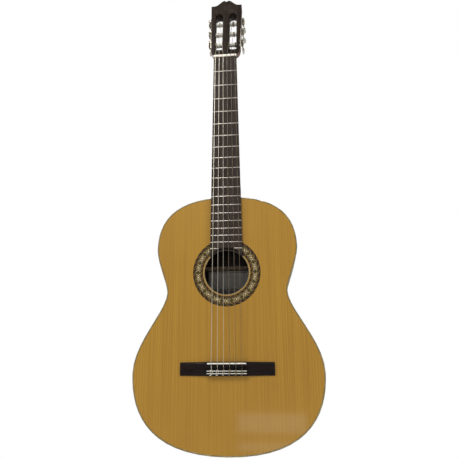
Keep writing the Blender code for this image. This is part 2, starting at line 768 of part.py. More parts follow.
def slot_outline(centre, bottom, round_bottom=False):
    """A slot with a round top, and a round or a square bottom."""
    half = SLOT_HALF_WIDTH
    steps = 12
    arc = [math.pi * step / steps for step in range(steps + 1)]
    top = [(centre + half * math.cos(turn), SLOT_TOP - half + half * math.sin(turn)) for turn in arc]
    if round_bottom:
        return top + [(centre - half * math.cos(turn), bottom + half - half * math.sin(turn)) for turn in arc]
    return top + [(centre - half, bottom), (centre + half, bottom)]


def ramp_trough(side, sign, head):
    """What the string ramp takes away: the wedge in front of a plane that slants into the head."""
    ramp_start, ramp_end = SLOT_RAMP
    slope = (ramp_end - ramp_start) / HEAD_WOOD
    front, back = -OVERSHOOT, HEAD_WOOD + OVERSHOOT
    low, high = ramp_start + slope * front, ramp_start + slope * back
    top = high + OVERSHOOT
    wedge = ((front, low), (back, high), (back, top), (front, top))
    half = SLOT_HALF_WIDTH - SLOT_RAMP_INSET
    rings = [[(x, y, z) for y, z in wedge] for x in (sign * SLOT_X - half, sign * SLOT_X + half)]
    name = f"slot_ramp_{side}"
    return place(bpy.data.objects.new(name, loft_mesh(name, rings)), None, CUTTERS, head)


def roller_bores(side, sign, head):
    tilt = Matrix.Rotation(sign * HEAD_TAPER, 4, "Y")
    origin = Matrix.Translation((sign * HEAD_MIDDLE[0], ROLLER_DEPTH, HEAD_MIDDLE[1]))
    along = Matrix.Rotation(math.pi / 2, 4, "Y")
    reach = ROLLER_REACH + ROLLER_BORE_SPARE
    middle = sign * (OVERSHOOT - reach) / 2
    places = [
        origin @ tilt @ Matrix.Translation((middle, 0.0, row * ROLLER_PITCH)) @ along for row in (-1, 0, 1)
    ]
    return rods(f"roller_bores_{side}", places, ROLLER_RADIUS + BORE_CLEARANCE, OVERSHOOT + reach, 16, head)


def make_head(head, blank, head_keep):
    tall = HEAD_WOOD + OVERSHOOT
    wood = sheet("headstock", [head_outline(HEAD_BLANK_START)], GAP / 3, HEAD_WOOD, MAHOGANY, parent=head)
    combine(wood, [blank], "UNION")
    combine(wood, [head_keep], "INTERSECT")
    veneer = sheet("head_veneer", [head_outline(GAP)], -VENEER, -GAP, DARK_VENEER, parent=head)
    openings = []
    bores = []
    for side, sign in (("bass", -1), ("treble", 1)):
        through = slot_outline(sign * SLOT_X, SLOT_ROUND_END, round_bottom=True)
        window = slot_outline(sign * SLOT_X, SLOT_RAMP[0])
        openings.append(sheet(f"slot_{side}", [through], -tall, tall, None, CUTTERS, head))
        openings.append(ramp_trough(side, sign, head))
        bores.append(roller_bores(side, sign, head))
        opening = sheet(f"slot_window_{side}", [window], -tall, tall, None, CUTTERS, head)
        combine(veneer, [opening], "DIFFERENCE")
    combine(wood, openings + bores, "DIFFERENCE")


def fingerboard_end():
    """The hollow end that clears the soundhole, from one side of the fingerboard to the other."""
    radius = FINGERBOARD_END_RADIUS
    steps = 8
    reach = math.asin(TWELFTH_HALF_WIDTH / radius)
    for _ in range(8):
        side_z = FINGERBOARD_END_Z + radius * math.cos(reach)
        reach = math.asin(board_half_width(side_z) / radius)
    turns = [reach * step / steps for step in range(steps, -steps - 1, -1)]
    return [(radius * math.sin(turn), FINGERBOARD_END_Z + radius * math.cos(turn)) for turn in turns]


def make_fingerboard():
    outline = [(-NUT_HALF_WIDTH, -GAP), (NUT_HALF_WIDTH, -GAP)] + fingerboard_end()
    board = sheet("fingerboard", [outline], -FINGERBOARD, -GAP, EBONY_BROWN)
    width, depth = FRET_SLOT
    low_y, high_y = -FINGERBOARD - OVERSHOOT, -FINGERBOARD + depth
    size = (4 * NUT_HALF_WIDTH, high_y - low_y, width, 1.0)
    bm = bmesh.new()
    for number in range(1, FRET_COUNT + 1):
        middle = (0.0, (low_y + high_y) / 2, fret_z(number))
        bmesh.ops.create_cube(bm, size=1.0, matrix=Matrix.Translation(middle) @ Matrix.Diagonal(size))
    slots = place(bpy.data.objects.new("fret_slots", mesh_from("fret_slots", bm)), None, CUTTERS)
    combine(board, [slots], "DIFFERENCE")


def make_nut():
    nut = box("nut", (-NUT_HALF_WIDTH, -NUT_HEIGHT, 0.0), (NUT_HALF_WIDTH, -GAP, NUT_LENGTH), BONE)
    edge = nut.modifiers.new("Worn edges", "BEVEL")
    edge.width = 0.0006
    edge.segments = 2
    edge.limit_method = "ANGLE"
    for number, radius in enumerate(STRING_RADII, start=1):
        x = string_x(number, NUT_STRING_SPREAD)
        top = -NUT_STRING_HEIGHT + radius + STRING_CLEARANCE
        cut = radius + STRING_CLEARANCE
        low, high = (x - cut, -NUT_HEIGHT - OVERSHOOT, -OVERSHOOT), (x + cut, top, OVERSHOOT)
        combine(nut, [box(f"nut_slot_{number}", low, high, group=CUTTERS)], "DIFFERENCE")


# Bridge and saddle -------------------------------------------------------------------------------


def make_wings():
    """The bridge's low wings: arched across, and thinner towards their tips."""
    front, rear = BRIDGE_EDGES
    middle = (front + rear) / 2 - SCALE_LENGTH
    block_share = BLOCK_HALF_LENGTH / BRIDGE_HALF_LENGTH
    steps = 8
    rings = []
    for share in (-1.0, -0.97, -0.85, -block_share, block_share, 0.85, 0.97, 1.0):
        outwards = max(abs(share) - block_share, 0.0) / (1.0 - block_share)
        height = WING_HEIGHT * (1.0 - (1.0 - WING_END_HEIGHT) * outwards)
        half = (front - rear) / 2 * (1.0 - (1.0 - WING_END_WIDTH) * outwards) - GAP
        x = BRIDGE_HALF_LENGTH * share
        ring = []
        for step in range(steps + 1):
            turn = math.pi * step / steps
            rise = height * math.sin(turn) ** 0.5
            ring.append((x, -max(rise, WING_BASE), middle + half * math.cos(turn)))
        rings.append(ring)
    return place(bpy.data.objects.new("bridge_wings", loft_mesh("bridge_wings", rings)), None, CUTTERS)


def make_bridge():
    front, rear = BRIDGE_EDGES
    tie_front, tie_rear = TIE_BLOCK
    profile = (
        (front, GAP),
        (front, BLOCK_HEIGHT - BLOCK_CHAMFER),
        (front - BLOCK_CHAMFER, BLOCK_HEIGHT),
        (CHANNEL_SLOPE[0], BLOCK_HEIGHT),
        (CHANNEL_SLOPE[1], CHANNEL_HEIGHT),
        (tie_front, CHANNEL_HEIGHT),
        (tie_front, TIE_HEIGHT),
        (tie_rear, TIE_HEIGHT),
        (tie_rear, REAR_LEDGE_HEIGHTS[0]),
        (rear, REAR_LEDGE_HEIGHTS[1]),
        (rear, GAP),
    )
    ends = (-BLOCK_HALF_LENGTH, BLOCK_HALF_LENGTH)
    rings = [[(x, -height, v - SCALE_LENGTH) for v, height in profile] for x in ends]
    bridge = place(bpy.data.objects.new("bridge", loft_mesh("bridge", rings)), ROSEWOOD)
    combine(bridge, [make_wings()], "UNION")

    slot_half = SADDLE_HALF_WIDTH + GAP
    slot = box(
        "saddle_slot",
        (-SADDLE_HALF_LENGTH - GAP, -OVERSHOOT - TIE_HEIGHT, -SCALE_LENGTH - slot_half),
        (SADDLE_HALF_LENGTH + GAP, -SADDLE_SLOT_FLOOR, -SCALE_LENGTH + slot_half),
        group=CUTTERS,
    )
    middle_z = (tie_front + tie_rear) / 2 - SCALE_LENGTH
    holes = []
    for number in range(1, len(STRING_RADII) + 1):
        holes.append(Matrix.Translation((string_x(number, SADDLE_STRING_SPREAD), -TIE_HOLE_HEIGHT, middle_z)))
    drill = rods("tie_holes", holes, TIE_HOLE_RADIUS, tie_front - tie_rear + OVERSHOOT, 8)
    combine(bridge, [slot, drill], "DIFFERENCE")

    saddle = box(
        "saddle",
        (-SADDLE_HALF_LENGTH, -SADDLE_HEIGHT, -SCALE_LENGTH - SADDLE_HALF_WIDTH),
        (SADDLE_HALF_LENGTH, -SADDLE_SLOT_FLOOR - GAP, -SCALE_LENGTH + SADDLE_HALF_WIDTH),
        BONE,
    )
    edge = saddle.modifiers.new("Rounded crown", "BEVEL")
    edge.width = 0.0005
    edge.segments = 2

    trim_top = -TIE_HEIGHT - GAP - TRIM
    box(
        "tie_block_trim",
        (-TRIM_HALF_LENGTH, trim_top, tie_rear + GAP - SCALE_LENGTH),
        (TRIM_HALF_LENGTH, trim_top + TRIM, tie_front - GAP - SCALE_LENGTH),
        BONE,
    )


# Tuning machines ---------------------------------------------------------------------------------


def string_number(side, row):
    """Row -1 is nearest the nut: it holds the outer string of its side."""
    return 2 + row if side == "treble" else 5 - row


def worm_z(row):
    """Height of a worm beside its gear, on the side towards the head's tip."""
    return row * ROLLER_PITCH + CENTRE_DISTANCE


def plate_outline():
    """The side plate's edge as (y, z) points, with rounded corners."""
    low_y, high_y = TUNER_PLATE_DEPTHS[0] + PLATE_CORNER, TUNER_PLATE_DEPTHS[1] - PLATE_CORNER
    low_z, high_z = TUNER_PLATE_ENDS[0] + PLATE_CORNER, TUNER_PLATE_ENDS[1] - PLATE_CORNER
    corners = ((high_y, high_z, 0), (low_y, high_z, 90), (low_y, low_z, 180), (high_y, low_z, 270))
    outline = []
    for centre_y, centre_z, start in corners:
        for degrees in range(start, start + 91, 30):
            turn = math.radians(degrees)
            y, z = centre_y + PLATE_CORNER * math.cos(turn), centre_z + PLATE_CORNER * math.sin(turn)
            outline.append((y, z))
    return outline


def make_plate(side, machine):
    """The side plate, with a pair of bearing posts for each worm."""
    rings = [[(x, y, z) for y, z in plate_outline()] for x in TUNER_PLATE]
    name = f"tuner_plate_{side}"
    plate = place(bpy.data.objects.new(name, loft_mesh(name, rings)), NICKEL, parent=machine)
    along_x = Matrix.Rotation(math.pi / 2, 4, "Y")
    along_y = Matrix.Rotation(-math.pi / 2, 4, "X")
    posts = []
    for row in (-1, 0, 1):
        z = worm_z(row)
        for sign in (-1, 1):
            near, far = sorted(sign * depth for depth in POST_DEPTHS)
            low = (TUNER_PLATE[1] - GAP, near, z - POST_HALF_WIDTH)
            high = (POST_REACH, far, z + POST_HALF_WIDTH)
            posts.append(box(f"{name}_post_{len(posts)}", low, high, group=CUTTERS, parent=machine))
    combine(plate, posts, "UNION")
    shafts = [Matrix.Translation((WORM_X, 0.0, worm_z(row))) @ along_y for row in (-1, 0, 1)]
    collars = [Matrix.Translation((0.0, 0.0, row * ROLLER_PITCH)) @ along_x for row in (-1, 0, 1)]
    drills = [
        rods(f"{name}_shaft_holes", shafts, SHAFT_RADIUS + BORE_CLEARANCE, 3 * OVERSHOOT, 10, machine),
        rods(f"{name}_collar_holes", collars, ROLLER_COLLAR + BORE_CLEARANCE, OVERSHOOT / 2, 14, machine),
    ]
    combine(plate, drills, "DIFFERENCE")


def gear_mesh():
    """A gear about Z whose teeth lean with the worm's thread; a gap between two teeth faces +X."""
    low, high = GEAR_FACE
    half_tooth = TOOTH_SHARE * WORM_PITCH / 2
    tip, root = GEAR_RADIUS + ADDENDUM_GEAR, GEAR_RADIUS - DEDENDUM
    lead = WORM_PITCH / (2 * math.pi * WORM_RADIUS)
    rings = []
    for z in (low, high):
        lean = lead * (z - (low + high) / 2) / GEAR_RADIUS
        ring = []
        for tooth in range(GEAR_TEETH):
            middle = 2 * math.pi * (tooth + 0.5) / GEAR_TEETH + lean
            for radius, side in ((root, -1), (tip, -1), (tip, 1), (root, 1)):
                half = (half_tooth + (GEAR_RADIUS - radius) * FLANK) / radius
                turn = middle + side * half
                ring.append((radius * math.cos(turn), radius * math.sin(turn), z))
        rings.append(ring)
    return loft_mesh("gear", rings)


def thread_mesh():
    """One thread wound about Z; its crest crosses z = 0 on the +Y side, which faces the gear."""
    half = TOOTH_SHARE * WORM_PITCH / 2
    root, tip = WORM_RADIUS - DEDENDUM - THREAD_BURIED, WORM_RADIUS + ADDENDUM_WORM
    profile = []
    for radius, side in ((root, -1), (tip, -1), (tip, 1), (root, 1)):
        profile.append((radius, side * (half + (WORM_RADIUS - radius) * FLANK)))
    rings = []
    count = round(2 * WORM_TURNS * WORM_STEPS)
    for step in range(count + 1):
        turns = step / WORM_STEPS - WORM_TURNS
        turn = 2 * math.pi * turns + math.pi / 2
        rings.append([(r * math.cos(turn), r * math.sin(turn), z + WORM_PITCH * turns) for r, z in profile])
    return loft_mesh("worm_thread", rings)


def button_mesh():
    """An oval button about Z that swells from its hub and rounds off at its far end."""
    rings = []
    steps, corners = 6, 10
    for step in range(steps + 1):
        share = 0.02 + 0.96 * step / steps
        swell = math.sin(math.pi * share) ** BUTTON_FULLNESS
        hub = BUTTON_HUB * (1 - share * BUTTON_HUB_FADE)
        ring = []
        for corner in range(corners):
            turn = 2 * math.pi * corner / corners
            wide, thin = (hub + (size - hub) * swell for size in BUTTON_HALF_SIZES)
            ring.append((wide * math.cos(turn), thin * math.sin(turn), BUTTON_LENGTH * step / steps))
        rings.append(ring)
    return loft_mesh("button", rings)


def make_roller(number, row, machine, meshes):
    """The string roller, and the gear on its outer end."""
    across = (0.0, math.pi / 2, 0.0)
    place_on_side = (0.0, 0.0, row * ROLLER_PITCH)
    collar_end = GEAR_FACE[0] - GAP
    seat_end = GEAR_FACE[1] + ROLLER_SEAT_SPARE
    profile = (
        (0.0, seat_end),
        (ROLLER_SEAT, seat_end),
        (ROLLER_SEAT, collar_end),
        (ROLLER_COLLAR, collar_end),
        (ROLLER_COLLAR, ROLLER_SHOULDER),
        (ROLLER_RADIUS, ROLLER_SHOULDER),
        (ROLLER_RADIUS, -ROLLER_REACH + ROLLER_CHAMFER),
        (ROLLER_RADIUS - ROLLER_CHAMFER, -ROLLER_REACH),
        (0.0, -ROLLER_REACH),
    )
    roller = turned(f"tuner_{number}_roller", profile, ROLLER_PLASTIC, 14, machine)
    gear = place(bpy.data.objects.new(f"tuner_{number}_gear", meshes["gear"]), BRASS, parent=machine)
    bore_middle = Matrix.Translation((0.0, 0.0, WORM_X))
    bore = rods(f"gear_bore_{number}", [bore_middle], ROLLER_SEAT + BORE_CLEARANCE, OVERSHOOT, 12, machine)
    for piece in (roller, gear, bore):
        piece.location = place_on_side
        piece.rotation_euler = across
    combine(gear, [bore], "DIFFERENCE")


def make_worm(number, row, machine, meshes):
    """The worm shaft with its thread, and the button on its rear end."""
    deep = Matrix.Rotation(-math.pi / 2, 4, "X")
    tenon_radius, tenon_reach = SHAFT_TENON
    core = WORM_RADIUS - DEDENDUM
    core_end = WORM_TURNS * WORM_PITCH + WORM_RELIEF
    profile = (
        (0.0, SHAFT_BACK + tenon_reach),
        (tenon_radius, SHAFT_BACK + tenon_reach),
        (tenon_radius, SHAFT_BACK),
        (SHAFT_RADIUS, SHAFT_BACK),
        (SHAFT_RADIUS, core_end),
        (core, core_end),
        (core, -core_end),
        (SHAFT_RADIUS, -core_end),
        (SHAFT_RADIUS, SHAFT_FRONT),
        (0.0, SHAFT_FRONT),
    )
    worm = turned(f"tuner_{number}_worm_shaft", profile, NICKEL, 10, machine)
    thread = place(bpy.data.objects.new(f"worm_thread_{number}", meshes["thread"]), None, CUTTERS, machine)
    for piece in (worm, thread):
        piece.location = (WORM_X, 0.0, worm_z(row))
        piece.rotation_euler = deep.to_euler()
    combine(worm, [thread], "UNION")

    button = place(bpy.data.objects.new(f"tuner_{number}_button", meshes["button"]), PEARL, parent=machine)
    depth = tenon_reach + 2 * GAP
    bottom = Matrix.Translation((0.0, 0.0, tenon_reach / 2))
    socket = rods(f"button_socket_{number}", [bottom], tenon_radius + BORE_CLEARANCE, depth, 10, machine)
    turn = Matrix.Rotation(math.radians(BUTTON_TURNS[number - 1]), 4, "Z")
    for piece in (button, socket):
        piece.location = (WORM_X, SHAFT_BACK + GAP, worm_z(row))
        piece.rotation_euler = (deep @ turn).to_euler()
    combine(button, [socket], "DIFFERENCE")


def make_tuners(head):
    meshes = {"gear": gear_mesh(), "thread": thread_mesh(), "button": button_mesh()}
    for side, sign in (("treble", 1), ("bass", -1)):
        machine = frame(
            f"tuner_frame_{side}",
            (sign * HEAD_MIDDLE[0], ROLLER_DEPTH, HEAD_MIDDLE[1]),
            (0.0, sign * HEAD_TAPER, 0.0),
            head,
            mirrored=sign < 0,
        )
        make_plate(side, machine)
        for row in (-1, 0, 1):
            make_roller(string_number(side, row), row, machine, meshes)
            make_worm(string_number(side, row), row, machine, meshes)


# Strings -----------------------------------------------------------------------------------------


def string_route(number, radius):
    """From behind the tie block, over the saddle and the nut, to the front of its roller."""
    at_saddle = string_x(number, SADDLE_STRING_SPREAD)
    at_nut = string_x(number, NUT_STRING_SPREAD)
    tie_front, tie_rear = TIE_BLOCK
    crown = SADDLE_HEIGHT + radius + STRING_CLEARANCE
    side = 1 if number <= 3 else -1
    row = {1: -1, 2: 0, 3: 1, 6: -1, 5: 0, 4: 1}[number]
    front_of_roller = ROLLER_DEPTH - ROLLER_RADIUS - radius - STRING_CLEARANCE
    roller_z = HEAD_MIDDLE[1] + row * ROLLER_PITCH
    lands = HEAD_MATRIX @ Vector((side * STRING_LANDINGS[row], front_of_roller, roller_z))
    return (
        (at_saddle, -TIE_HOLE_HEIGHT, tie_rear - STRING_TAIL - SCALE_LENGTH),
        (at_saddle, -TIE_HOLE_HEIGHT, tie_front + STRING_TIE_EXIT - SCALE_LENGTH),
        (at_saddle, -crown, STRING_ON_SADDLE[0] - SCALE_LENGTH),
        (at_saddle, -crown, STRING_ON_SADDLE[1] - SCALE_LENGTH),
        (at_nut, -NUT_STRING_HEIGHT, -STRING_PAST_NUT),
        (at_nut, -NUT_STRING_HEIGHT, NUT_LENGTH + STRING_PAST_NUT),
        tuple(lands),
    )


def make_strings():
    for number, radius in enumerate(STRING_RADII, start=1):
        curve = bpy.data.curves.new(f"string_{number}", "CURVE")
        curve.dimensions = "3D"
        curve.bevel_depth = radius
        curve.bevel_resolution = 1
        curve.use_fill_caps = True
        route = string_route(number, radius)
        spline = curve.splines.new("POLY")
        spline.points.add(len(route) - 1)
        for point, place_on_route in zip(spline.points, route):
            point.co = (*place_on_route, 1.0)
        place(bpy.data.objects.new(f"string_{number}", curve), NYLON if number <= 3 else WOUND)


def main():
    make_ribs()
    make_bindings()
    make_linings()
    make_soundboard()
    make_back()
    make_braces()
    make_fan()
    make_blocks()
    blank, head_keep = make_neck()
    head = frame("head_frame", (0.0, 0.0, HEAD_Z), (-HEAD_TILT, 0.0, 0.0))
    make_head(head, blank, head_keep)
    make_fingerboard()
    make_nut()
    make_bridge()
    make_tuners(head)
    make_strings()


main()
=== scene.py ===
"""The looks of the classical guitar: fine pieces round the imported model, materials, light and camera.

Metres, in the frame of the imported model: +Z runs up the neck, the soundboard faces -Y, +X is the right.
"""

import json
import math

import bmesh
import bpy
from mathutils import Matrix, Vector


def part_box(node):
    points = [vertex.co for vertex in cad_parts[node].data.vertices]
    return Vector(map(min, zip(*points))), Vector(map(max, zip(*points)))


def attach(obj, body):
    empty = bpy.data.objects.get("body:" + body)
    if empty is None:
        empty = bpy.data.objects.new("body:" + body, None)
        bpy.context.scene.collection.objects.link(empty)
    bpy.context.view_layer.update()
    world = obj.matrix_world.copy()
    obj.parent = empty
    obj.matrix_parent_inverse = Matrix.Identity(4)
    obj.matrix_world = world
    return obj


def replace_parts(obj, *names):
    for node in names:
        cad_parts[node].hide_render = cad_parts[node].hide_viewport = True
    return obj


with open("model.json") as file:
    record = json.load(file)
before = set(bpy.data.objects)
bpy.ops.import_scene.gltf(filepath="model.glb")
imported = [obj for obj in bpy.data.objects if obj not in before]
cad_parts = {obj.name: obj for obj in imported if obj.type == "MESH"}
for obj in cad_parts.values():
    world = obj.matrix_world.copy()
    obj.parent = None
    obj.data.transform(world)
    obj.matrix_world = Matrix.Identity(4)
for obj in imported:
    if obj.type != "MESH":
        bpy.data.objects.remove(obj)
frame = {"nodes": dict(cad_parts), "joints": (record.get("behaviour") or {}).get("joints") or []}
NODES = frame["nodes"]
JOINTS = {joint["name"]: joint for joint in frame["joints"]}
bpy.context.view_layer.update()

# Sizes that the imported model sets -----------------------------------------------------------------

BODY = "guitar"
HAIR = 0.0001                      # how far a thin inlay or a loop stands clear of what it lies on
SCALE_LENGTH = 0.650
BOARD_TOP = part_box("fingerboard")[0].y
NUT_HALF_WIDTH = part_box("nut")[1].x
BOARD_SPREAD = 0.005 / 0.325       # growth of the fingerboard's half width along its length
ROSETTE_LOW, ROSETTE_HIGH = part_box("rosette")
SOUNDHOLE_Z = (ROSETTE_LOW.z + ROSETTE_HIGH.z) / 2
SOUNDHOLE_RADIUS = 0.0436
ROSETTE_RADII = (0.0468, ROSETTE_HIGH.x)
BOARD_END_Z = -0.4685              # middle of the arc that the fingerboard's lower end follows
BOARD_END_RADIUS = 0.0374
BOARD_END_REACH = math.radians(46) # of that end, seen from the soundhole's middle
STRING_RADII = (0.000355, 0.000410, 0.000515, 0.000370, 0.000455, 0.000570)   # first to sixth
SADDLE_SPREAD = 0.0565             # sixth string to first
TIE_LOW, TIE_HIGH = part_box("tie_block_trim")
TIE_HOLE_Y = -0.0055                # middle of the holes that the strings leave the tie block by

# Fine sizes of what is added here -----------------------------------------------------------------

FRET_COUNT = 19
FRET_CROWN = (0.00105, 0.0009)     # half width and height
FRET_TANG = (0.00024, 0.0014)      # half width and depth
FRET_BEVEL = 0.0009
TILE_COLUMNS = 360
PURFLING_WIDTH = 0.0015
PURFLING_DEPTH = 0.0027
INSIDE_Y = 0.05                    # a depth in the air of the body, in front of the back
LABEL_HALF_WIDTH = 0.0490
LABEL_Z = (-0.5030, -0.4612)
LABEL_LINE_IN = 0.0030             # from the paper's edge to the frame line
TIE_WOOD_DROP = 0.0004             # how far the dark wood lies below the tops of its bone strips
TIE_STRIPS = (-0.0132, -0.0177)    # bone strips on the tie block, from the saddle
TIE_STRIP_HALF_WIDTH = 0.0006

# The head's two slots, where painted shade darkens the wood inside them.
HEAD_Z = 0.005                     # where the tilt of the head starts
HEAD_TILT = math.radians(13.0)
HEAD_SLOT_X = 0.0159
HEAD_SLOT_HALF_WIDTH = 0.0088
HEAD_SLOT_Z = (0.014, 0.142)
HEAD_SLOT_DEPTH = 0.0172

# Tuning machines.
TUNERS = range(1, 7)
ROLLER_RADIUS = 0.0050
ROLLER_REACH = 0.0305
GEAR_OUTER_FACE = 0.0063
WORM_PITCH = 0.0025
WORM_RADII = (0.0014, 0.0032)      # of the shaft and of the thread's crest
THREAD_SHARES = (0.17, 0.11)       # of the pitch: half the crest, and each flank
WORM_FRONT = -0.0085
SHAFT_BACK = 0.0190
BUTTON_LENGTH = 0.0140
BUTTON_HALF_SIZES = (0.0062, 0.0036)
BUTTON_HUB = 0.0026
BUTTON_TURNS = (80.0, 10.0, 55.0, 35.0, 100.0, 60.0)   # degrees, first tuner to sixth
PLATE_FACE = 0.0015
PLATE_SCREWS = (-0.0490, -0.0165, 0.0185)   # along the plate, from the middle roller
GEAR_SCREW_RADIUS = 0.0023
PLATE_SCREW_RADIUS = 0.0017

# Stage, light and camera.
FLOOR_Z = -1.40
FLOOR_RADIUS = 2.2
EVEN_LIGHT = 0.32                  # strength of the light from all round
CAMERA_PLACE = (0.0902, -0.8823, -0.6292)
CAMERA_PITCH = 0.2623              # radians, upwards
CAMERA_YAW = 0.0926
CAMERA_ROLL = -0.0323
SENSOR = 36.0                      # millimetres, as the lens
LENS = 36.11


# Materials ---------------------------------------------------------------------------------------


def linear(*levels):
    """A colour given as display values from 0 to 255, in the renderer's linear units."""
    shares = [level / 255 for level in levels]
    return tuple(s / 12.92 if s <= 0.04045 else ((s + 0.055) / 1.055) ** 2.4 for s in shares) + (1.0,)


class Look:
    """A node material built up call by call. Its textures read the piece's own coordinates, in metres."""

    def __init__(self, name, **settings):
        self.material = bpy.data.materials.new(name)
        self.material.use_nodes = True
        self.tree = self.material.node_tree
        self.shader = self.tree.nodes["Principled BSDF"]
        for socket, value in settings.items():
            self.feed(self.shader.inputs[socket.replace("_", " ")], value)
        self.here = self.node("ShaderNodeTexCoord").outputs["Object"]

    def feed(self, socket, value):
        if isinstance(value, bpy.types.NodeSocket):
            self.tree.links.new(value, socket)
        else:
            socket.default_value = value

    def node(self, kind, inputs=(), **settings):
        made = self.tree.nodes.new(kind)
        for key, value in settings.items():
            setattr(made, key, value)
        for key, value in dict(inputs).items():
            self.feed(made.inputs[key], value)
        return made

    def axes(self):
        outputs = self.node("ShaderNodeSeparateXYZ", {0: self.here}).outputs
        return outputs["X"], outputs["Y"], outputs["Z"]

    def maths(self, operation, first, second=0.0, third=0.0):
        return self.node("ShaderNodeMath", {0: first, 1: second, 2: third}, operation=operation).outputs[0]

    def point(self, x, y, z):
        return self.node("ShaderNodeCombineXYZ", {0: x, 1: y, 2: z}).outputs[0]

    def noise(self, across, detail=3.0, roughness=0.55, distortion=0.0, where=None):
        """Noise with so many features to the metre along X, Y and Z."""
        vector = self.node(
            "ShaderNodeVectorMath", {0: where or self.here, 1: across}, operation="MULTIPLY"
        ).outputs[0]
        inputs = {"Vector": vector, "Scale": 1.0, "Detail": detail, "Roughness": roughness}
        return self.node("ShaderNodeTexNoise", inputs | {"Distortion": distortion}).outputs["Fac"]

    def ramp(self, value, *stops):
        """Colours or grey levels by value, from (position, colour) stops."""
        made = self.node("ShaderNodeValToRGB", {0: value})
        elements = made.color_ramp.elements
        while len(elements) < len(stops):
            elements.new(0.5)
        for element, (position, colour) in zip(elements, stops):
            element.position = position
            element.color = colour if isinstance(colour, tuple) else (colour, colour, colour, 1.0)
        return made.outputs[0]

    def blend(self, share, first, second, how="MIX"):
        made = self.node("ShaderNodeMix", data_type="RGBA", blend_type=how)
        for socket, value in zip([made.inputs[0], made.inputs[6], made.inputs[7]], (share, first, second)):
            self.feed(socket, value)
        return made.outputs[2]

    def bump(self, height, distance, strength=1.0):
        inputs = {"Height": height, "Distance": distance, "Strength": strength}
        self.feed(self.shader.inputs["Normal"], self.node("ShaderNodeBump", inputs).outputs[0])

    def colour(self, value):
        self.feed(self.shader.inputs["Base Color"], value)

    def rough(self, value):
        self.feed(self.shader.inputs["Roughness"], value)


def folded(look):
    """Where a point is, with the left half folded onto the right, as book-matched plates are."""
    x, y, z = look.axes()
    return look.point(look.maths("ABSOLUTE", x), y, z)


def cedar_look():
    """The lacquered top: fine upright grain, book-matched, with broad silky streaks."""
    look = Look("lacquered_cedar", Coat_Weight=0.8, Coat_Roughness=0.07, Specular_IOR_Level=0.25)
    here = folded(look)
    grain = look.noise((640.0, 0.0, 2.5), detail=4.0, where=here)
    streaks = look.noise((110.0, 0.0, 1.2), detail=3.0, where=here)
    clouds = look.noise((9.0, 0.0, 5.0), detail=2.0)
    pores = look.noise((3000.0, 0.0, 160.0), detail=1.0)
    base = look.ramp(
        grain, (0.28, linear(150, 108, 28)), (0.52, linear(166, 124, 40)), (0.76, linear(176, 134, 48))
    )
    streaked = look.blend(0.35, base, look.ramp(streaks, (0.32, 0.40), (0.66, 0.58)), "SOFT_LIGHT")
    clouded = look.blend(0.35, streaked, look.ramp(clouds, (0.30, 0.40), (0.70, 0.58)), "SOFT_LIGHT")
    look.colour(look.blend(0.22, clouded, look.ramp(pores, (0.35, 0.30), (0.60, 0.55)), "SOFT_LIGHT"))
    look.rough(look.ramp(grain, (0.3, 0.42), (0.7, 0.30)))
    look.bump(grain, 0.00002, 0.6)
    return look.material


def timber_look(
    name, dark, middle, light, stretch, mirrored=False, coat=0.6, roughness=0.4, pore=0.35, sheen=0.5,
    stain_and_shade=None,
):
    """A straight-grained hardwood. Its grain runs where the stretch is small; the mask, if given, marks where
    a flat dark brown of painted shade covers it.
    """
    look = Look(name, Coat_Weight=coat, Coat_Roughness=0.06, Specular_IOR_Level=sheen)
    here = folded(look) if mirrored else look.here
    wander = look.noise((7.0, 7.0, 3.0), detail=1.0, where=here)
    shift = look.maths("MULTIPLY", wander, 0.02)
    moved = look.node("ShaderNodeVectorMath", {0: here, 1: look.point(shift, shift, 0.0)}, operation="ADD")
    bands = look.noise(tuple(size * 0.12 for size in stretch), detail=3.0, where=moved.outputs[0])
    grain = look.noise(stretch, detail=5.0, roughness=0.6, where=moved.outputs[0])
    pores = look.noise(tuple(size * 3.0 for size in stretch), detail=1.0)
    base = look.ramp(grain, (0.30, linear(*dark)), (0.52, linear(*middle)), (0.74, linear(*light)))
    banded = look.blend(0.8, base, look.ramp(bands, (0.34, 0.28), (0.66, 0.62)), "SOFT_LIGHT")
    wood = look.blend(pore, banded, look.ramp(pores, (0.38, 0.18), (0.50, 0.52)), "SOFT_LIGHT")
    # Painted shade: where the mask is 1, a flat dark brown stands in for the shade in recesses and inside the
    # body.
    look.colour(look.blend(stain_and_shade(look), wood, linear(36, 26, 20)) if stain_and_shade else wood)
    look.rough(look.ramp(grain, (0.3, roughness + 0.1), (0.7, roughness - 0.05)))
    look.bump(grain, 0.00003, 0.5)
    return look.material


def in_head_slots(look):
    """1 inside the head's two slots, in front of its back face, and 0 elsewhere: where the head's wood gets
    painted shade.
    """
    x, y, z = look.axes()
    across = look.maths("ABSOLUTE", look.maths("SUBTRACT", look.maths("ABSOLUTE", x), HEAD_SLOT_X))
    along = look.maths("ABSOLUTE", look.maths("SUBTRACT", z, sum(HEAD_SLOT_Z) / 2))
    rise = look.maths("MULTIPLY", look.maths("SUBTRACT", z, HEAD_Z), math.sin(HEAD_TILT))
    depth = look.maths("SUBTRACT", look.maths("MULTIPLY", y, math.cos(HEAD_TILT)), rise)
    inside = (
        look.maths("LESS_THAN", across, HEAD_SLOT_HALF_WIDTH),
        look.maths("LESS_THAN", along, (HEAD_SLOT_Z[1] - HEAD_SLOT_Z[0]) / 2),
        look.maths("LESS_THAN", depth, HEAD_SLOT_DEPTH),
    )
    return look.maths("MULTIPLY", look.maths("MULTIPLY", inside[0], inside[1]), inside[2])


def facing_inwards(look):
    """1 on faces that look towards the soundboard: the back's inner face, which gets painted shade."""
    normal = look.node("ShaderNodeTexCoord").outputs["Normal"]
    return look.maths("LESS_THAN", look.node("ShaderNodeSeparateXYZ", {0: normal}).outputs["Y"], -0.5)


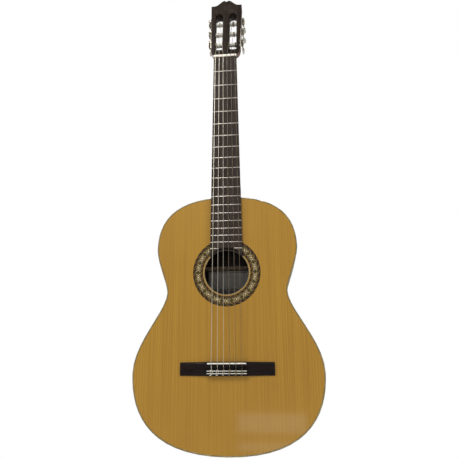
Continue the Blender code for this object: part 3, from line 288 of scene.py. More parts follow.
def bone_look():
    look = Look("bone", Roughness=0.32, Subsurface_Weight=0.15, Subsurface_Scale=0.002)
    grain = look.noise((900.0, 900.0, 160.0), detail=3.0)
    clouds = look.noise((60.0, 60.0, 90.0), detail=2.0)
    base = look.ramp(grain, (0.30, linear(228, 220, 202)), (0.70, linear(246, 241, 230)))
    look.colour(look.blend(0.4, base, look.ramp(clouds, (0.3, 0.42), (0.7, 0.6)), "SOFT_LIGHT"))
    look.bump(grain, 0.00002, 0.4)
    return look.material


def metal_look(name, dull, bright, roughness, scratches=(500.0, 500.0, 6000.0)):
    """Plated metal, brushed along one way, with darker tarnish in patches."""
    look = Look(name, Metallic=1.0)
    patches = look.noise((130.0, 130.0, 130.0), detail=4.0)
    brushed = look.noise(scratches, detail=2.0)
    look.colour(look.ramp(patches, (0.35, linear(*dull)), (0.62, linear(*bright))))
    look.rough(look.ramp(brushed, (0.3, roughness - 0.06), (0.7, roughness + 0.12)))
    look.bump(brushed, 0.00001, 0.5)
    return look.material


def pearl_look():
    """Grey-white pearloid with drifting bands of light and shade."""
    look = Look("pearloid", Roughness=0.22, Coat_Weight=0.8, Coat_Roughness=0.05, Subsurface_Weight=0.2,
                Subsurface_Scale=0.003)
    swirl = look.noise((170.0, 170.0, 170.0), detail=3.0, distortion=1.6)
    flakes = look.node("ShaderNodeTexVoronoi", {"Vector": look.here, "Scale": 420.0}).outputs["Distance"]
    base = look.ramp(
        swirl, (0.30, linear(120, 120, 116)), (0.48, linear(206, 204, 196)), (0.70, linear(238, 236, 228))
    )
    look.colour(look.blend(0.5, base, look.ramp(flakes, (0.0, 0.35), (0.8, 0.62)), "SOFT_LIGHT"))
    return look.material


def plastic_look(name, colour, roughness):
    look = Look(name, Coat_Weight=0.3, Coat_Roughness=0.1)
    speck = look.noise((700.0, 700.0, 700.0), detail=2.0)
    wear = look.noise((90.0, 90.0, 90.0), detail=3.0)
    darker = tuple(level * 0.88 for level in colour)
    look.colour(look.ramp(wear, (0.3, linear(*darker)), (0.65, linear(*colour))))
    look.rough(look.ramp(speck, (0.3, roughness - 0.06), (0.7, roughness + 0.08)))
    look.bump(speck, 0.00001, 0.3)
    return look.material


def nylon_look():
    """Clear nylon line, a little milky."""
    look = Look("clear_nylon", Roughness=0.3, IOR=1.4, Transmission_Weight=0.6)
    milk = look.noise((300.0, 300.0, 30.0), detail=1.0)
    look.colour(look.ramp(milk, (0.3, linear(136, 120, 98)), (0.7, linear(166, 150, 126))))
    return look.material


def wound_look():
    """Silvered wire wound tightly round a core, across the run of the string."""
    look = Look("wound_wire", Metallic=0.9)
    turns = look.node("ShaderNodeTexWave", {"Vector": look.here, "Scale": 700.0}, bands_direction="Z")
    tarnish = look.noise((40.0, 40.0, 25.0), detail=2.0)
    look.colour(look.ramp(tarnish, (0.3, linear(196, 188, 170)), (0.7, linear(226, 220, 206))))
    look.rough(look.ramp(tarnish, (0.3, 0.52), (0.7, 0.44)))
    look.bump(turns.outputs["Fac"], 0.00002, 0.3)
    return look.material


def inner_look():
    """Unfinished spruce inside the body."""
    look = Look("raw_spruce")
    grain = look.noise((700.0, 700.0, 9.0), detail=4.0)
    fibres = look.noise((60.0, 60.0, 3000.0), detail=1.0)
    base = look.ramp(
        grain, (0.30, linear(146, 128, 106)), (0.55, linear(174, 154, 128)), (0.75, linear(188, 168, 142))
    )
    look.colour(look.blend(0.3, base, look.ramp(fibres, (0.3, 0.3), (0.7, 0.6)), "SOFT_LIGHT"))
    look.rough(look.ramp(grain, (0.3, 0.85), (0.7, 0.7)))
    look.bump(fibres, 0.00003, 0.4)
    return look.material


def paper_look():
    """Old grey paper with a plain frame line."""
    look = Look("label_paper", Roughness=0.85)
    fibres = look.noise((900.0, 900.0, 900.0), detail=3.0)
    stain_and_shade = look.noise((40.0, 40.0, 40.0), detail=3.0)
    x, _, z = look.axes()
    middle = sum(LABEL_Z) / 2
    half = (LABEL_Z[1] - LABEL_Z[0]) / 2
    side = look.maths("SUBTRACT", LABEL_HALF_WIDTH, look.maths("ABSOLUTE", x))
    end = look.maths("SUBTRACT", half, look.maths("ABSOLUTE", look.maths("SUBTRACT", z, middle)))
    edge = look.maths("MINIMUM", side, end)
    line = look.maths("COMPARE", edge, LABEL_LINE_IN, 0.0004)
    base = look.ramp(stain_and_shade, (0.3, linear(226, 224, 216)), (0.7, linear(246, 245, 240)))
    aged = look.blend(0.3, base, look.ramp(fibres, (0.3, 0.35), (0.7, 0.6)), "SOFT_LIGHT")
    look.colour(look.blend(line, aged, linear(92, 88, 84)))
    look.bump(fibres, 0.00003, 0.3)
    return look.material


def tile_look():
    """The rosette's wood mosaic: each tile's own colour, under lacquer."""
    look = Look("rosette_tiles", Coat_Weight=0.5, Coat_Roughness=0.05, Roughness=0.5, Specular_IOR_Level=0.2)
    colour = look.node("ShaderNodeVertexColor", layer_name="tile").outputs["Color"]
    fibres = look.noise((2500.0, 2500.0, 900.0), detail=2.0)
    look.colour(look.blend(0.35, colour, look.ramp(fibres, (0.3, 0.35), (0.7, 0.6)), "SOFT_LIGHT"))
    look.bump(fibres, 0.00001, 0.4)
    return look.material


CEDAR = cedar_look()
# Painted shade: the back's inner face, seen through the soundhole, is painted a flat dark brown for the shade
# inside the body.
MAHOGANY_BACK = timber_look(
    "mahogany_back", (70, 28, 14), (106, 48, 26), (132, 66, 38), (420.0, 420.0, 7.0), mirrored=True, coat=0.9,
    roughness=0.35, stain_and_shade=facing_inwards,
)
MAHOGANY_RIBS = timber_look(
    "mahogany_ribs", (72, 29, 15), (108, 50, 27), (134, 68, 39), (7.0, 420.0, 7.0), coat=0.9, roughness=0.35
)
MAHOGANY_NECK = timber_look(
    "mahogany_neck", (60, 30, 18), (88, 46, 28), (108, 60, 38), (460.0, 460.0, 9.0), roughness=0.42
)
# Painted shade: the head's wood is painted dark brown inside its two deep slots.
MAHOGANY_HEAD = timber_look(
    "mahogany_head", (60, 30, 18), (88, 46, 28), (108, 60, 38), (460.0, 460.0, 9.0), coat=0.05, roughness=0.5,
    sheen=0.2, stain_and_shade=in_head_slots,
)
ROSEWOOD = timber_look(
    "bridge_rosewood", (12, 7, 6), (22, 13, 11), (36, 21, 16), (7.0, 600.0, 600.0), coat=0.03, roughness=0.45,
    sheen=0.13,
)
BINDING = timber_look(
    "binding_wood", (110, 98, 66), (140, 126, 86), (158, 144, 102), (60.0, 700.0, 60.0), coat=0.9,
    roughness=0.3,
)
HEAD_VENEER = timber_look(
    "head_veneer", (22, 14, 9), (38, 27, 18), (55, 41, 29), (520.0, 520.0, 8.0), coat=0.0, roughness=0.5,
    sheen=0.1,
)
FINGERBOARD = timber_look(
    "fingerboard_rosewood", (34, 26, 21), (52, 42, 35), (68, 56, 46), (800.0, 800.0, 16.0), coat=0.0,
    roughness=0.65, pore=0.6, sheen=0.2,
)
BONE = bone_look()
NICKEL = metal_look("nickel_silver", (150, 144, 132), (206, 200, 190), 0.34)
FRET_METAL = metal_look("fret_wire", (150, 145, 134), (190, 184, 174), 0.34, (5000.0, 400.0, 400.0))
BRASS = metal_look("aged_brass", (104, 96, 76), (162, 150, 122), 0.36)
PEARL = pearl_look()
ROLLER_PLASTIC = plastic_look("roller_plastic", (226, 222, 210), 0.38)
NYLON = nylon_look()
WOUND = wound_look()
INNER = inner_look()
PAPER = paper_look()
TILES = tile_look()
PURFLING = timber_look(
    "pale_purfling", (130, 112, 70), (156, 136, 90), (172, 152, 104), (900.0, 900.0, 900.0), coat=0.9,
    roughness=0.3,
)
# Painted shade: this dark wood colours the arc under the fingerboard's end, where the board's shade falls.
PAINTED_SHADE_PURFLING = timber_look(
    "purfling_with_painted_shade", (34, 26, 22), (50, 39, 32), (64, 50, 40), (900.0, 900.0, 900.0), coat=0.9, roughness=0.3
)


# Making pieces -----------------------------------------------------------------------------------


def settle(obj, look, body=BODY):
    obj.data.materials.append(look)
    bpy.context.scene.collection.objects.link(obj)
    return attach(obj, body)


def shaded(mesh, degrees=40.0):
    mesh.shade_smooth()
    mesh.set_sharp_from_angle(angle=math.radians(degrees))
    return mesh


def mesh_of(name, bm):
    bmesh.ops.recalc_face_normals(bm, faces=bm.faces)
    mesh = bpy.data.meshes.new(name)
    bm.to_mesh(mesh)
    bm.free()
    return shaded(mesh)


def add_loft(bm, rings):
    """A closed solid through rings that have the same number of points."""
    rows = [[bm.verts.new(point) for point in ring] for ring in rings]
    for lower, upper in zip(rows, rows[1:]):
        for here in range(len(lower)):
            there = (here + 1) % len(lower)
            bm.faces.new((lower[here], lower[there], upper[there], upper[here]))
    bm.faces.new(rows[0][::-1])
    bm.faces.new(rows[-1])


def lofted(name, rings, look, body=BODY, matrix=None):
    bm = bmesh.new()
    add_loft(bm, rings)
    if matrix:
        bmesh.ops.transform(bm, matrix=matrix, verts=bm.verts)
    return settle(bpy.data.objects.new(name, mesh_of(name, bm)), look, body)


def turned_rings(profile, steps=40):
    """Rings about Z for a profile of (radius, z) points."""
    turns = [2 * math.pi * step / steps for step in range(steps)]
    return [
        [(radius * math.cos(turn), radius * math.sin(turn), z) for turn in turns] for radius, z in profile
    ]


def wire(name, points, radius, look, body=BODY):
    """A round strand on a smooth curve through the points."""
    curve = bpy.data.curves.new(name, "CURVE")
    curve.dimensions = "3D"
    curve.bevel_depth = radius
    curve.bevel_resolution = 3
    curve.resolution_u = 5
    curve.use_fill_caps = True
    spline = curve.splines.new("BEZIER")
    spline.bezier_points.add(len(points) - 1)
    for control, point in zip(spline.bezier_points, points):
        control.co = point
        control.handle_left_type = "AUTO"
        control.handle_right_type = "AUTO"
    return settle(bpy.data.objects.new(name, curve), look, body)


def soften(name, width, segments=2):
    """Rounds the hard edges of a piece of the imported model, and shades it smooth."""
    obj = NODES[name]
    shaded(obj.data, 35.0)
    weld = obj.modifiers.new("Weld", "WELD")
    weld.merge_threshold = 0.00001
    flat = obj.modifiers.new("Whole faces", "DECIMATE")
    flat.decimate_type = "DISSOLVE"
    flat.angle_limit = math.radians(0.5)
    edge = obj.modifiers.new("Soft edges", "BEVEL")
    edge.width = width
    edge.segments = segments
    edge.limit_method = "ANGLE"
    edge.angle_limit = math.radians(40)
    edge.harden_normals = True


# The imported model's own pieces --------------------------------------------------------------------

GEARS = tuple(f"tuner_{number}_gear" for number in TUNERS)
FINISHES = {
    CEDAR: ("soundboard",),
    MAHOGANY_BACK: ("back_plate",),
    MAHOGANY_RIBS: ("rib_treble", "rib_bass"),
    MAHOGANY_NECK: ("neck", "neck_block", "tail_block"),
    MAHOGANY_HEAD: ("headstock",),
    ROSEWOOD: ("bridge", "heel_cap"),
    BINDING: ("top_binding", "back_binding"),
    HEAD_VENEER: ("head_veneer",),
    FINGERBOARD: ("fingerboard",),
    BONE: ("nut", "saddle", "tie_block_trim"),
    NICKEL: ("tuner_plate_treble", "tuner_plate_bass"),
    INNER: (
        "top_lining_treble", "top_lining_bass", "back_lining_treble", "back_lining_bass",
        "harmonic_bar_upper", "harmonic_bar_lower", "back_brace_upper", "back_brace_middle",
        "back_brace_lower", "fan_bracing",
    ),
    BRASS: GEARS,
    NYLON: ("string_1", "string_2", "string_3"),
    WOUND: ("string_4", "string_5", "string_6"),
}
SOFT_EDGES = {                     # width of the rounding, and the pieces that have it
    0.0006: ("bridge", "headstock", "top_binding", "back_binding", "heel_cap"),
    0.0005: ("head_veneer",),
    0.0004: ("neck",),
    0.0002: ("saddle", "nut", "tuner_plate_treble", "tuner_plate_bass") + GEARS,
}


def finish_nodes():
    """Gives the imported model's pieces their materials, and rounds the edges of some."""
    for look, names in FINISHES.items():
        for name in names:
            mesh = NODES[name].data
            mesh.materials.clear()
            mesh.materials.append(look)
            shaded(mesh, 35.0)
    for width, names in SOFT_EDGES.items():
        for name in names:
            soften(name, width)


# Fingerboard -------------------------------------------------------------------------------------


def fret_z(number):
    return SCALE_LENGTH * (2 ** (-number / 12) - 1)


def board_half_width(z):
    return NUT_HALF_WIDTH - z * BOARD_SPREAD


def fret_rings(start, end, z):
    """A half-round crown on a thin tang, bevelled at both ends."""
    half, height = FRET_CROWN
    tang_half, tang = FRET_TANG
    inwards = math.copysign(FRET_BEVEL, end - start)
    stations = (
        (start, 0.25), (start + inwards / 2, 0.85), (start + inwards, 1.0),
        (end - inwards, 1.0), (end - inwards / 2, 0.85), (end, 0.25),
    )
    rings = []
    for x, rise in stations:
        ring = []
        for step in range(9):
            turn = math.pi * step / 8
            ring.append((x, BOARD_TOP - height * rise * math.sin(turn) ** 0.8, z + half * math.cos(turn)))
        ring += [(x, BOARD_TOP, z - tang_half), (x, BOARD_TOP + tang, z - tang_half)]
        ring += [(x, BOARD_TOP + tang, z + tang_half), (x, BOARD_TOP, z + tang_half)]
        rings.append(ring)
    return rings


def make_frets():
    for number in range(1, FRET_COUNT + 1):
        z = fret_z(number)
        half = board_half_width(z) - HAIR
        above_end = z - FRET_CROWN[0] - BOARD_END_Z
        if above_end < BOARD_END_RADIUS:
            clear = math.sqrt(BOARD_END_RADIUS**2 - above_end**2) + HAIR
            lofted(f"fret_{number}_bass", fret_rings(-half, -clear, z), FRET_METAL)
            lofted(f"fret_{number}_treble", fret_rings(clear, half, z), FRET_METAL)
        else:
            lofted(f"fret_{number}", fret_rings(-half, half, z), FRET_METAL)


# Rosette and label -------------------------------------------------------------------------------

TILE_COLOURS = {
    "c": linear(240, 230, 194),
    "g": linear(146, 114, 42),
    "o": linear(76, 74, 28),
    "b": linear(30, 20, 12),
    "r": linear(110, 52, 34),
    "k": linear(10, 8, 7),
}
# One quarter of a motif: rows from the band's edge to its middle, columns from the motif's middle outwards.
MOTIF = ("bgbbobbgbb", "gbcbgbcbgo", "bgbgobgbbo", "cbgbcbgbob")
ROPE = "kkkrkkgkokk"
BANDS = (                          # width of each row in millimetres, rows, and what fills it
    (0.4, 1, "k"), (1.1, 3, "rope"), (0.4, 1, "g"), (0.4, 1, "k"), (1.08, 8, "motif"),
    (0.4, 1, "k"), (0.4, 1, "g"), (1.1, 4, "rope"), (0.36, 1, "k"),
)


def tile_letter(fill, row, column):
    if fill == "rope":
        return ROPE[(column + 2 * row) % len(ROPE)]
    if fill == "motif":
        length = 2 * len(MOTIF[0])
        across = column % length
        return MOTIF[min(row, 2 * len(MOTIF) - 1 - row)][min(across, length - 1 - across)]
    return fill


def ring_rows():
    """(inner radius, outer radius, fill, row) for each row of tiles; the rows together fill the ring."""
    inner, outer = ROSETTE_RADII
    share = (outer - inner) / sum(width * count for width, count, _ in BANDS)
    rows = []
    radius = inner
    for width, count, fill in BANDS:
        for row in range(count):
            rows.append((radius, radius + width * share, fill, row))
            radius += width * share
    return rows


def make_rosette():
    """A ring of small tiles that stands for the plain one, flush with the top."""
    rows = ring_rows()
    radii = [rows[0][0]] + [row[1] for row in rows]
    bm = bmesh.new()
    tint = bm.loops.layers.float_color.new("tile")
    near, far = ROSETTE_LOW.y, ROSETTE_HIGH.y

    def place_at(radius, column, y):
        turn = 2 * math.pi * column / TILE_COLUMNS
        return bm.verts.new((radius * math.sin(turn), y, SOUNDHOLE_Z + radius * math.cos(turn)))

    front = [[place_at(radius, column, near) for column in range(TILE_COLUMNS)] for radius in radii]
    edges = (radii[0], radii[-1])
    back = [[place_at(radius, column, far) for column in range(TILE_COLUMNS)] for radius in edges]
    layers = [(front[at], front[at + 1], row) for at, row in enumerate(rows)]
    dark = (0.0, 0.0, "k", 0)
    layers += [(front[-1], back[1], dark), (back[1], back[0], dark), (back[0], front[0], dark)]
    for inner, outer, (_, _, fill, row) in layers:
        for column in range(TILE_COLUMNS):
            following = (column + 1) % TILE_COLUMNS
            face = bm.faces.new((inner[column], inner[following], outer[following], outer[column]))
            for loop in face.loops:
                loop[tint] = TILE_COLOURS[tile_letter(fill, row, column)]
    ring = bpy.data.objects.new("rosette_mosaic", mesh_of("rosette_mosaic", bm))
    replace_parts(settle(ring, TILES), "rosette")


def make_hole_purfling():
    """The ring let in at the edge of the soundhole: pale, and under the fingerboard's end a wider dark arc
    that is painted shade.
    """
    inner = SOUNDHOLE_RADIUS - 3 * HAIR
    reach = BOARD_END_REACH
    pale_outer = SOUNDHOLE_RADIUS + PURFLING_WIDTH
    dark_outer = ROSETTE_RADII[0] - HAIR
    arcs = (
        ("soundhole_purfling", reach, 2 * math.pi - reach, 134, PURFLING, pale_outer),
        # Painted shade: the dark arc under the board's end reaches out to the rosette.
        ("soundhole_purfling_painted_shade", -reach, reach, 46, PAINTED_SHADE_PURFLING, dark_outer),
    )
    for name, first, last, steps, look, outer in arcs:
        section = (
            (inner, PURFLING_DEPTH), (inner, 2 * HAIR), (inner + 3 * HAIR, -HAIR), (outer - 2 * HAIR, -HAIR),
            (outer, HAIR / 2), (inner + 2 * HAIR, PURFLING_DEPTH),
        )
        rings = []
        for step in range(steps + 1):
            turn = first + (last - first) * step / steps
            rings.append([(r * math.sin(turn), y, SOUNDHOLE_Z + r * math.cos(turn)) for r, y in section])
        lofted(name, rings, look)


def make_label():
    """A plain paper label glued inside the back, under the soundhole."""
    low, high = LABEL_Z
    columns, lines = 14, 8
    plate = NODES["back_plate"]
    bm = bmesh.new()
    grid = []
    for line in range(lines + 1):
        z = low + (high - low) * line / lines
        row = []
        for column in range(columns + 1):
            x = LABEL_HALF_WIDTH * (2 * column / columns - 1)
            _, spot, _, _ = plate.ray_cast((x, INSIDE_Y, z), (0.0, 1.0, 0.0))
            row.append(bm.verts.new(spot - Vector((0.0, 2 * HAIR, 0.0))))
        grid.append(row)
    for lower, upper in zip(grid, grid[1:]):
        for at in range(columns):
            bm.faces.new((lower[at], lower[at + 1], upper[at + 1], upper[at]))
    label = settle(bpy.data.objects.new("label", mesh_of("label", bm)), PAPER)
    thick = label.modifiers.new("Thickness", "SOLIDIFY")
    thick.thickness = HAIR
    thick.offset = 0.0


# Strings at the bridge and on the rollers ---------------------------------------------------------


def string_look(number):
    return (NYLON, "nylon_string") if number <= 3 else (WOUND, "wound_string")


def make_tie_block():
    """The top of the tie block: a strip of dark wood with two bone strips along it, for the plain slab."""
    half = TIE_HIGH.x
    wood_top = TIE_LOW.y + TIE_WOOD_DROP
    wood = [
        [(x, y, z) for y, z in (
            (wood_top, TIE_LOW.z), (TIE_HIGH.y, TIE_LOW.z), (TIE_HIGH.y, TIE_HIGH.z), (wood_top, TIE_HIGH.z)
        )]
        for x in (-half, half)
    ]
    capping = lofted("tie_block_cap", wood, ROSEWOOD)
    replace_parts(capping, "tie_block_trim")
    corner = 0.0002
    for name, from_saddle in zip(("front", "rear"), TIE_STRIPS):
        middle = from_saddle - SCALE_LENGTH
        low, high = middle - TIE_STRIP_HALF_WIDTH, middle + TIE_STRIP_HALF_WIDTH
        section = (
            (wood_top + HAIR, low), (TIE_LOW.y + corner, low), (TIE_LOW.y, low + corner),
            (TIE_LOW.y, high - corner), (TIE_LOW.y + corner, high), (wood_top + HAIR, high),
        )
        lofted(f"tie_strip_{name}", [[(x, y, z) for y, z in section] for x in (-half, half)], BONE)


def make_ties():
    """Each string's tail goes over the tie block, round itself in front of it and back, and is tucked in."""
    for number, radius in enumerate(STRING_RADII, start=1):
        x = SADDLE_SPREAD * (3.5 - number) / 5
        loop = 0.0009 + 1.2 * radius
        top = TIE_LOW.y - radius - HAIR
        rear, front = TIE_LOW.z, TIE_HIGH.z
        under = TIE_HOLE_Y - 3.2 * radius - 0.0012
        route = (
            (x, TIE_HOLE_Y, rear - 0.0006),
            (x - 0.3 * loop, (TIE_HOLE_Y + top) / 2, rear - 0.0009 - radius),
            (x - loop, top, rear + 0.0006),
            (x - 1.1 * loop, top - 0.0001, (rear + front) / 2),
            (x - loop, top, front - 0.0006),
            (x - 0.6 * loop, (under + top) / 2, front + 0.0005 + radius),
            (x, under, front + 0.0009 + radius),
            (x + 0.6 * loop, (under + top) / 2, front + 0.0005 + radius),
            (x + loop, top, front - 0.0006),
            (x + 1.1 * loop, top - 0.0001, (rear + front) / 2),
            (x + loop, top, rear + 0.0006),
            (x + 0.2 * loop, top + 0.0016, rear - 0.0006 - radius),
            (x - 1.2 * loop, top + 0.0022, rear - 0.0011 - 2 * radius),
            (x - 2.6 * loop, top + 0.0020, rear - 0.0008 - radius),
        )
        look, slot = string_look(number)
        wire(f"string_{number}_tie", route, radius, look)


def roller_frame(number):
    """A frame on the roller's axis, with X outwards, Y into the head's depth and Z along the side."""
    joint = JOINTS[f"tuner_{number}_roller_turn"]
    side = 1.0 if joint["pos_m"][0] > 0 else -1.0
    outwards = Vector(joint["axis"]).normalized() * side
    deep = Vector(JOINTS[f"tuner_{number}_button_turn"]["axis"]).normalized()
    along = Vector((0.0, -deep.z, deep.y))
    along = (along - outwards * along.dot(outwards)).normalized()
    made = Matrix((outwards, deep, along)).transposed().to_4x4()
    made.translation = Vector(joint["pos_m"])
    return made


def worm_frame(number):
    """A frame on the worm's axis, with Z into the head's depth."""
    made = roller_frame(number)
    turned_deep = made @ Matrix.Rotation(-math.pi / 2, 4, "X")
    turned_deep.translation = Vector(JOINTS[f"tuner_{number}_button_turn"]["pos_m"])
    return turned_deep


def across_frame(number):
    """The roller's frame turned so that Z points outwards."""
    return roller_frame(number) @ Matrix.Rotation(math.pi / 2, 4, "Y")


def make_roller(number):
    """The string roller: a smooth barrel with turned rims, its collar and its seat in the gear."""
    body = f"tuner_{number}_roller"
    radius, reach = ROLLER_RADIUS, ROLLER_REACH
    profile = [
        (0.0004, -reach), (radius - 0.0006, -reach), (radius, -reach + 0.0006), (radius, -reach + 0.0016),
        (radius - 0.0002, -reach + 0.0018), (radius - 0.0002, -0.0030), (radius, -0.0028), (radius, -0.0010),
        (radius - 0.0004, -0.0006), (0.0025, -0.0006), (0.0025, 0.0034), (0.0017, 0.0034),
        (0.0017, GEAR_OUTER_FACE + 0.0003), (0.0004, GEAR_OUTER_FACE + 0.0003),
    ]
    barrel = lofted(f"tuner_{number}_barrel", turned_rings(profile), ROLLER_PLASTIC, body,
                    across_frame(number))
    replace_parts(barrel, f"tuner_{number}_roller")


def landing_x(number):
    """Where a string's upper end meets its roller, along the roller's axis from the joint outwards."""
    inverse = roller_frame(number).inverted()
    points = [inverse @ vertex.co for vertex in NODES[f"string_{number}"].data.vertices]
    return max(points, key=lambda point: point.z).x


def make_winding(number):
    """The turns of string on its roller, side by side, with the end tucked across them."""
    radius = STRING_RADII[number - 1]
    frame_here = roller_frame(number)
    landing = landing_x(number)
    reach = ROLLER_RADIUS + radius
    pitch = 2.15 * radius
    turns = 4 if number > 3 else 3
    steps = 12
    points = []
    for step in range(turns * steps + 1):
        turn = 2 * math.pi * step / steps
        x = landing + pitch * step / steps
        points.append(frame_here @ Vector((x, -reach * math.cos(turn), reach * math.sin(turn))))
    last = landing + pitch * turns
    for degrees, shift, lift in ((25, 0.4, 0.2), (55, 0.2, 1.2), (80, -1.4, 2.2), (105, -3.2, 2.1)):
        turn = math.radians(degrees)
        x = last + shift * radius
        far = reach + lift * radius
        points.append(frame_here @ Vector((x, -far * math.cos(turn), far * math.sin(turn))))
    look, slot = string_look(number)
    wire(f"string_{number}_winding", points, radius, look, f"tuner_{number}_roller")


# Tuning machines ---------------------------------------------------------------------------------


def make_worm(number):
    """The worm: a fine thread on its shaft, which carries the button."""
    core, crest = WORM_RADII
    crest_share, flank_share = THREAD_SHARES
    thread_end = 1.5 * WORM_PITCH
    steps = 24
    body = f"tuner_{number}_worm"

    def reach(turn, z):
        if abs(z) > thread_end:
            return core
        offset = (z / WORM_PITCH - turn / (2 * math.pi)) % 1.0
        away = min(offset, 1.0 - offset)
        rise = min(max((crest_share + flank_share - away) / flank_share, 0.0), 1.0)
        fade = min((thread_end - abs(z)) / (0.3 * WORM_PITCH), 1.0)
        return core + (crest - core) * rise * fade

    chamfer = 0.0002
    heights = [WORM_FRONT, WORM_FRONT + chamfer]
    heights += [thread_end * step / 30 for step in range(-31, 32)] + [SHAFT_BACK]
    rings = []
    for z in heights:
        ring = []
        for step in range(steps):
            turn = 2 * math.pi * step / steps
            radius = reach(turn, z) - (chamfer if z == WORM_FRONT else 0.0)
            phase = turn + math.pi / 2
            ring.append((radius * math.cos(phase), radius * math.sin(phase), z))
        rings.append(ring)
    worm = lofted(f"tuner_{number}_worm_thread", rings, NICKEL, body, worm_frame(number))
    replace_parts(worm, f"tuner_{number}_worm_shaft")


def make_button(number):
    """A pearloid button that swells from its hub, with a metal ferrule at its neck."""
    body = f"tuner_{number}_worm"
    turn_about = Matrix.Rotation(math.radians(BUTTON_TURNS[number - 1]), 4, "Z")
    seat = worm_frame(number) @ Matrix.Translation((0.0, 0.0, SHAFT_BACK + 0.0003)) @ turn_about
    steps, corners = 22, 32
    rings = []
    for step in range(steps + 1):
        share = 0.006 + 0.988 * (1 - math.cos(math.pi * step / steps)) / 2
        swell = math.sin(math.pi * share) ** 0.55
        hub = BUTTON_HUB * (1 - share)
        ring = []
        for corner in range(corners):
            turn = 2 * math.pi * corner / corners
            wide, thin = (hub + (size - hub) * swell for size in BUTTON_HALF_SIZES)
            dimple = 1.0 - 0.10 * math.sin(math.pi * share) * abs(math.sin(turn)) ** 6
            ring.append((wide * math.cos(turn), thin * dimple * math.sin(turn), BUTTON_LENGTH * share))
        rings.append(ring)
    button = lofted(f"tuner_{number}_pearl", rings, PEARL, body, seat)
    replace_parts(button, f"tuner_{number}_button")
    ferrule = (
        (0.0016, -0.0016), (0.0024, -0.0014), (0.0024, -0.0008), (0.0020, -0.0005), (0.0022, 0.0002),
        (0.0016, 0.0004),
    )
    lofted(f"tuner_{number}_ferrule", turned_rings(ferrule, 24), NICKEL, body, seat)


def slotted_screw(name, matrix, radius, body):
    """A raised screw head about Z, with a slot across it."""
    rise = radius * 0.55
    dome = ((radius, 0.0), (radius, rise * 0.35), (radius * 0.86, rise * 0.75), (radius * 0.6, rise))
    screw = lofted(name, turned_rings(dome, 24), NICKEL, body, matrix)
    bm = bmesh.new()
    slot = Matrix.Diagonal((radius * 3, radius * 0.24, rise, 1.0))
    bmesh.ops.create_cube(bm, size=1.0, matrix=matrix @ Matrix.Translation((0.0, 0.0, rise)) @ slot)
    cutter = bpy.data.objects.new(name + "_slot", mesh_of(name + "_slot", bm))
    bpy.context.scene.collection.objects.link(cutter)
    cut = screw.modifiers.new("Slot", "BOOLEAN")
    cut.operation = "DIFFERENCE"
    cut.object = cutter
    flat = bpy.data.meshes.new_from_object(screw.evaluated_get(bpy.context.evaluated_depsgraph_get()))
    screw.modifiers.clear()
    screw.data = flat
    bpy.data.objects.remove(cutter, do_unlink=True)
    return screw


def make_gear_screw(number):
    """The screw that holds the gear on its roller."""
    seat = across_frame(number) @ Matrix.Translation((0.0, 0.0, GEAR_OUTER_FACE + HAIR))
    twist = Matrix.Rotation(math.radians(37.0 * number), 4, "Z")
    slotted_screw(f"tuner_{number}_gear_screw", seat @ twist, GEAR_SCREW_RADIUS, f"tuner_{number}_roller")


def make_plate_screws(side, middle_number):
    """Three wood screws hold each side plate to the head, each below a machine."""
    middle = across_frame(middle_number)
    for place_on_plate, z in enumerate(PLATE_SCREWS, start=1):
        spot = middle @ Matrix.Translation((-z, -0.0010, PLATE_FACE))
        twist = Matrix.Rotation(math.radians(50.0 * place_on_plate), 4, "Z")
        slotted_screw(f"plate_screw_{side}_{place_on_plate}", spot @ twist, PLATE_SCREW_RADIUS, BODY)


# Stage, light and camera --------------------------------------------------------------------------


def make_floor():
    """A plain pale floor below the hanging guitar."""
    bm = bmesh.new()
    bmesh.ops.create_circle(bm, cap_ends=True, segments=96, radius=FLOOR_RADIUS)
    floor = bpy.data.objects.new("floor", mesh_of("floor", bm))
    floor.location = (0.0, 0.0, FLOOR_Z)
    bpy.context.scene.collection.objects.link(floor)
    look = Look("pale_floor", Roughness=0.9)
    specks = look.noise((3.0, 3.0, 3.0), detail=3.0)
    look.colour(look.ramp(specks, (0.3, linear(244, 244, 243)), (0.7, linear(252, 252, 251))))
    floor.data.materials.append(look.material)


def make_world():
    """White all round for the eye, and a softer even light for the guitar."""
    world = bpy.data.worlds.new("studio")
    bpy.context.scene.world = world
    world.use_nodes = True
    tree = world.node_tree
    tree.nodes.clear()
    seen = tree.nodes.new("ShaderNodeBackground")
    seen.inputs["Color"].default_value = (1.0, 1.0, 1.0, 1.0)
    seen.inputs["Strength"].default_value = 1.0
    felt = tree.nodes.new("ShaderNodeBackground")
    felt.inputs["Color"].default_value = (1.0, 0.99, 0.97, 1.0)
    felt.inputs["Strength"].default_value = EVEN_LIGHT
    path = tree.nodes.new("ShaderNodeLightPath")
    mix = tree.nodes.new("ShaderNodeMixShader")
    out = tree.nodes.new("ShaderNodeOutputWorld")
    tree.links.new(path.outputs["Is Camera Ray"], mix.inputs[0])
    tree.links.new(felt.outputs[0], mix.inputs[1])
    tree.links.new(seen.outputs[0], mix.inputs[2])
    tree.links.new(mix.outputs[0], out.inputs["Surface"])


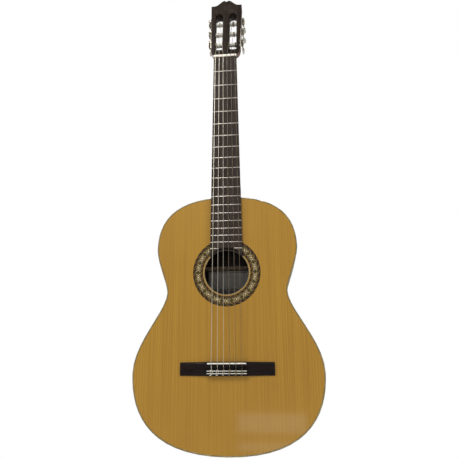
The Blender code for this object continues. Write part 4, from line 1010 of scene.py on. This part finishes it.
def soft_light(name, where, aim, size, power, colour=(1.0, 1.0, 1.0)):
    data = bpy.data.lights.new(name, "AREA")
    data.shape = "RECTANGLE"
    data.size, data.size_y = size
    data.energy = power
    data.color = colour
    lamp = bpy.data.objects.new(name, data)
    bpy.context.scene.collection.objects.link(lamp)
    lamp.location = where
    lamp.rotation_euler = (Vector(aim) - Vector(where)).to_track_quat("-Z", "Y").to_euler()
    lamp.visible_camera = False


def make_lights():
    """A key above on the left, two fills, two lamps behind, and two faint strips that the lacquer mirrors."""
    middle = (0.0, 0.0, -0.35)
    soft_light("key", (-0.55, -1.6, 1.35), middle, (0.9, 0.7), 38.0)
    soft_light("fill_right", (1.8, -1.5, 0.2), middle, (1.0, 1.4), 14.0)
    soft_light("fill_left", (-2.0, -1.1, -0.5), middle, (1.0, 1.4), 8.0)
    soft_light("rear_left", (-1.6, 1.7, 0.9), middle, (1.2, 1.2), 26.0)
    soft_light("rear_right", (1.7, 1.5, 0.1), middle, (1.2, 1.2), 18.0)
    soft_light("window_upper", (0.060, -1.7, -0.990), (0.0, 0.0, -0.78), (0.36, 0.095), 0.13)
    soft_light("window_lower", (0.060, -1.7, -1.105), (0.0, 0.0, -0.80), (0.36, 0.040), 0.055)


def make_camera():
    """In front of the body and a little to its right, looking up along the neck."""
    data = bpy.data.cameras.new("camera")
    data.sensor_width = SENSOR
    data.lens = LENS
    data.clip_start = 0.01
    camera = bpy.data.objects.new("camera", data)
    bpy.context.scene.collection.objects.link(camera)
    camera.matrix_world = (
        Matrix.Translation(CAMERA_PLACE) @ Matrix.Rotation(math.pi / 2 + CAMERA_PITCH, 4, "X")
        @ Matrix.Rotation(CAMERA_YAW, 4, "Y") @ Matrix.Rotation(CAMERA_ROLL, 4, "Z")
    )
    bpy.context.scene.camera = camera


def main():
    finish_nodes()
    make_frets()
    make_rosette()
    make_hole_purfling()
    make_label()
    make_tie_block()
    make_ties()
    for number in TUNERS:
        make_roller(number)
        make_winding(number)
        make_worm(number)
        make_button(number)
        make_gear_screw(number)
    make_plate_screws("treble", 2)
    make_plate_screws("bass", 5)
    make_floor()
    make_world()
    make_lights()
    make_camera()
    bpy.context.scene.view_settings.view_transform = "Standard"


main()
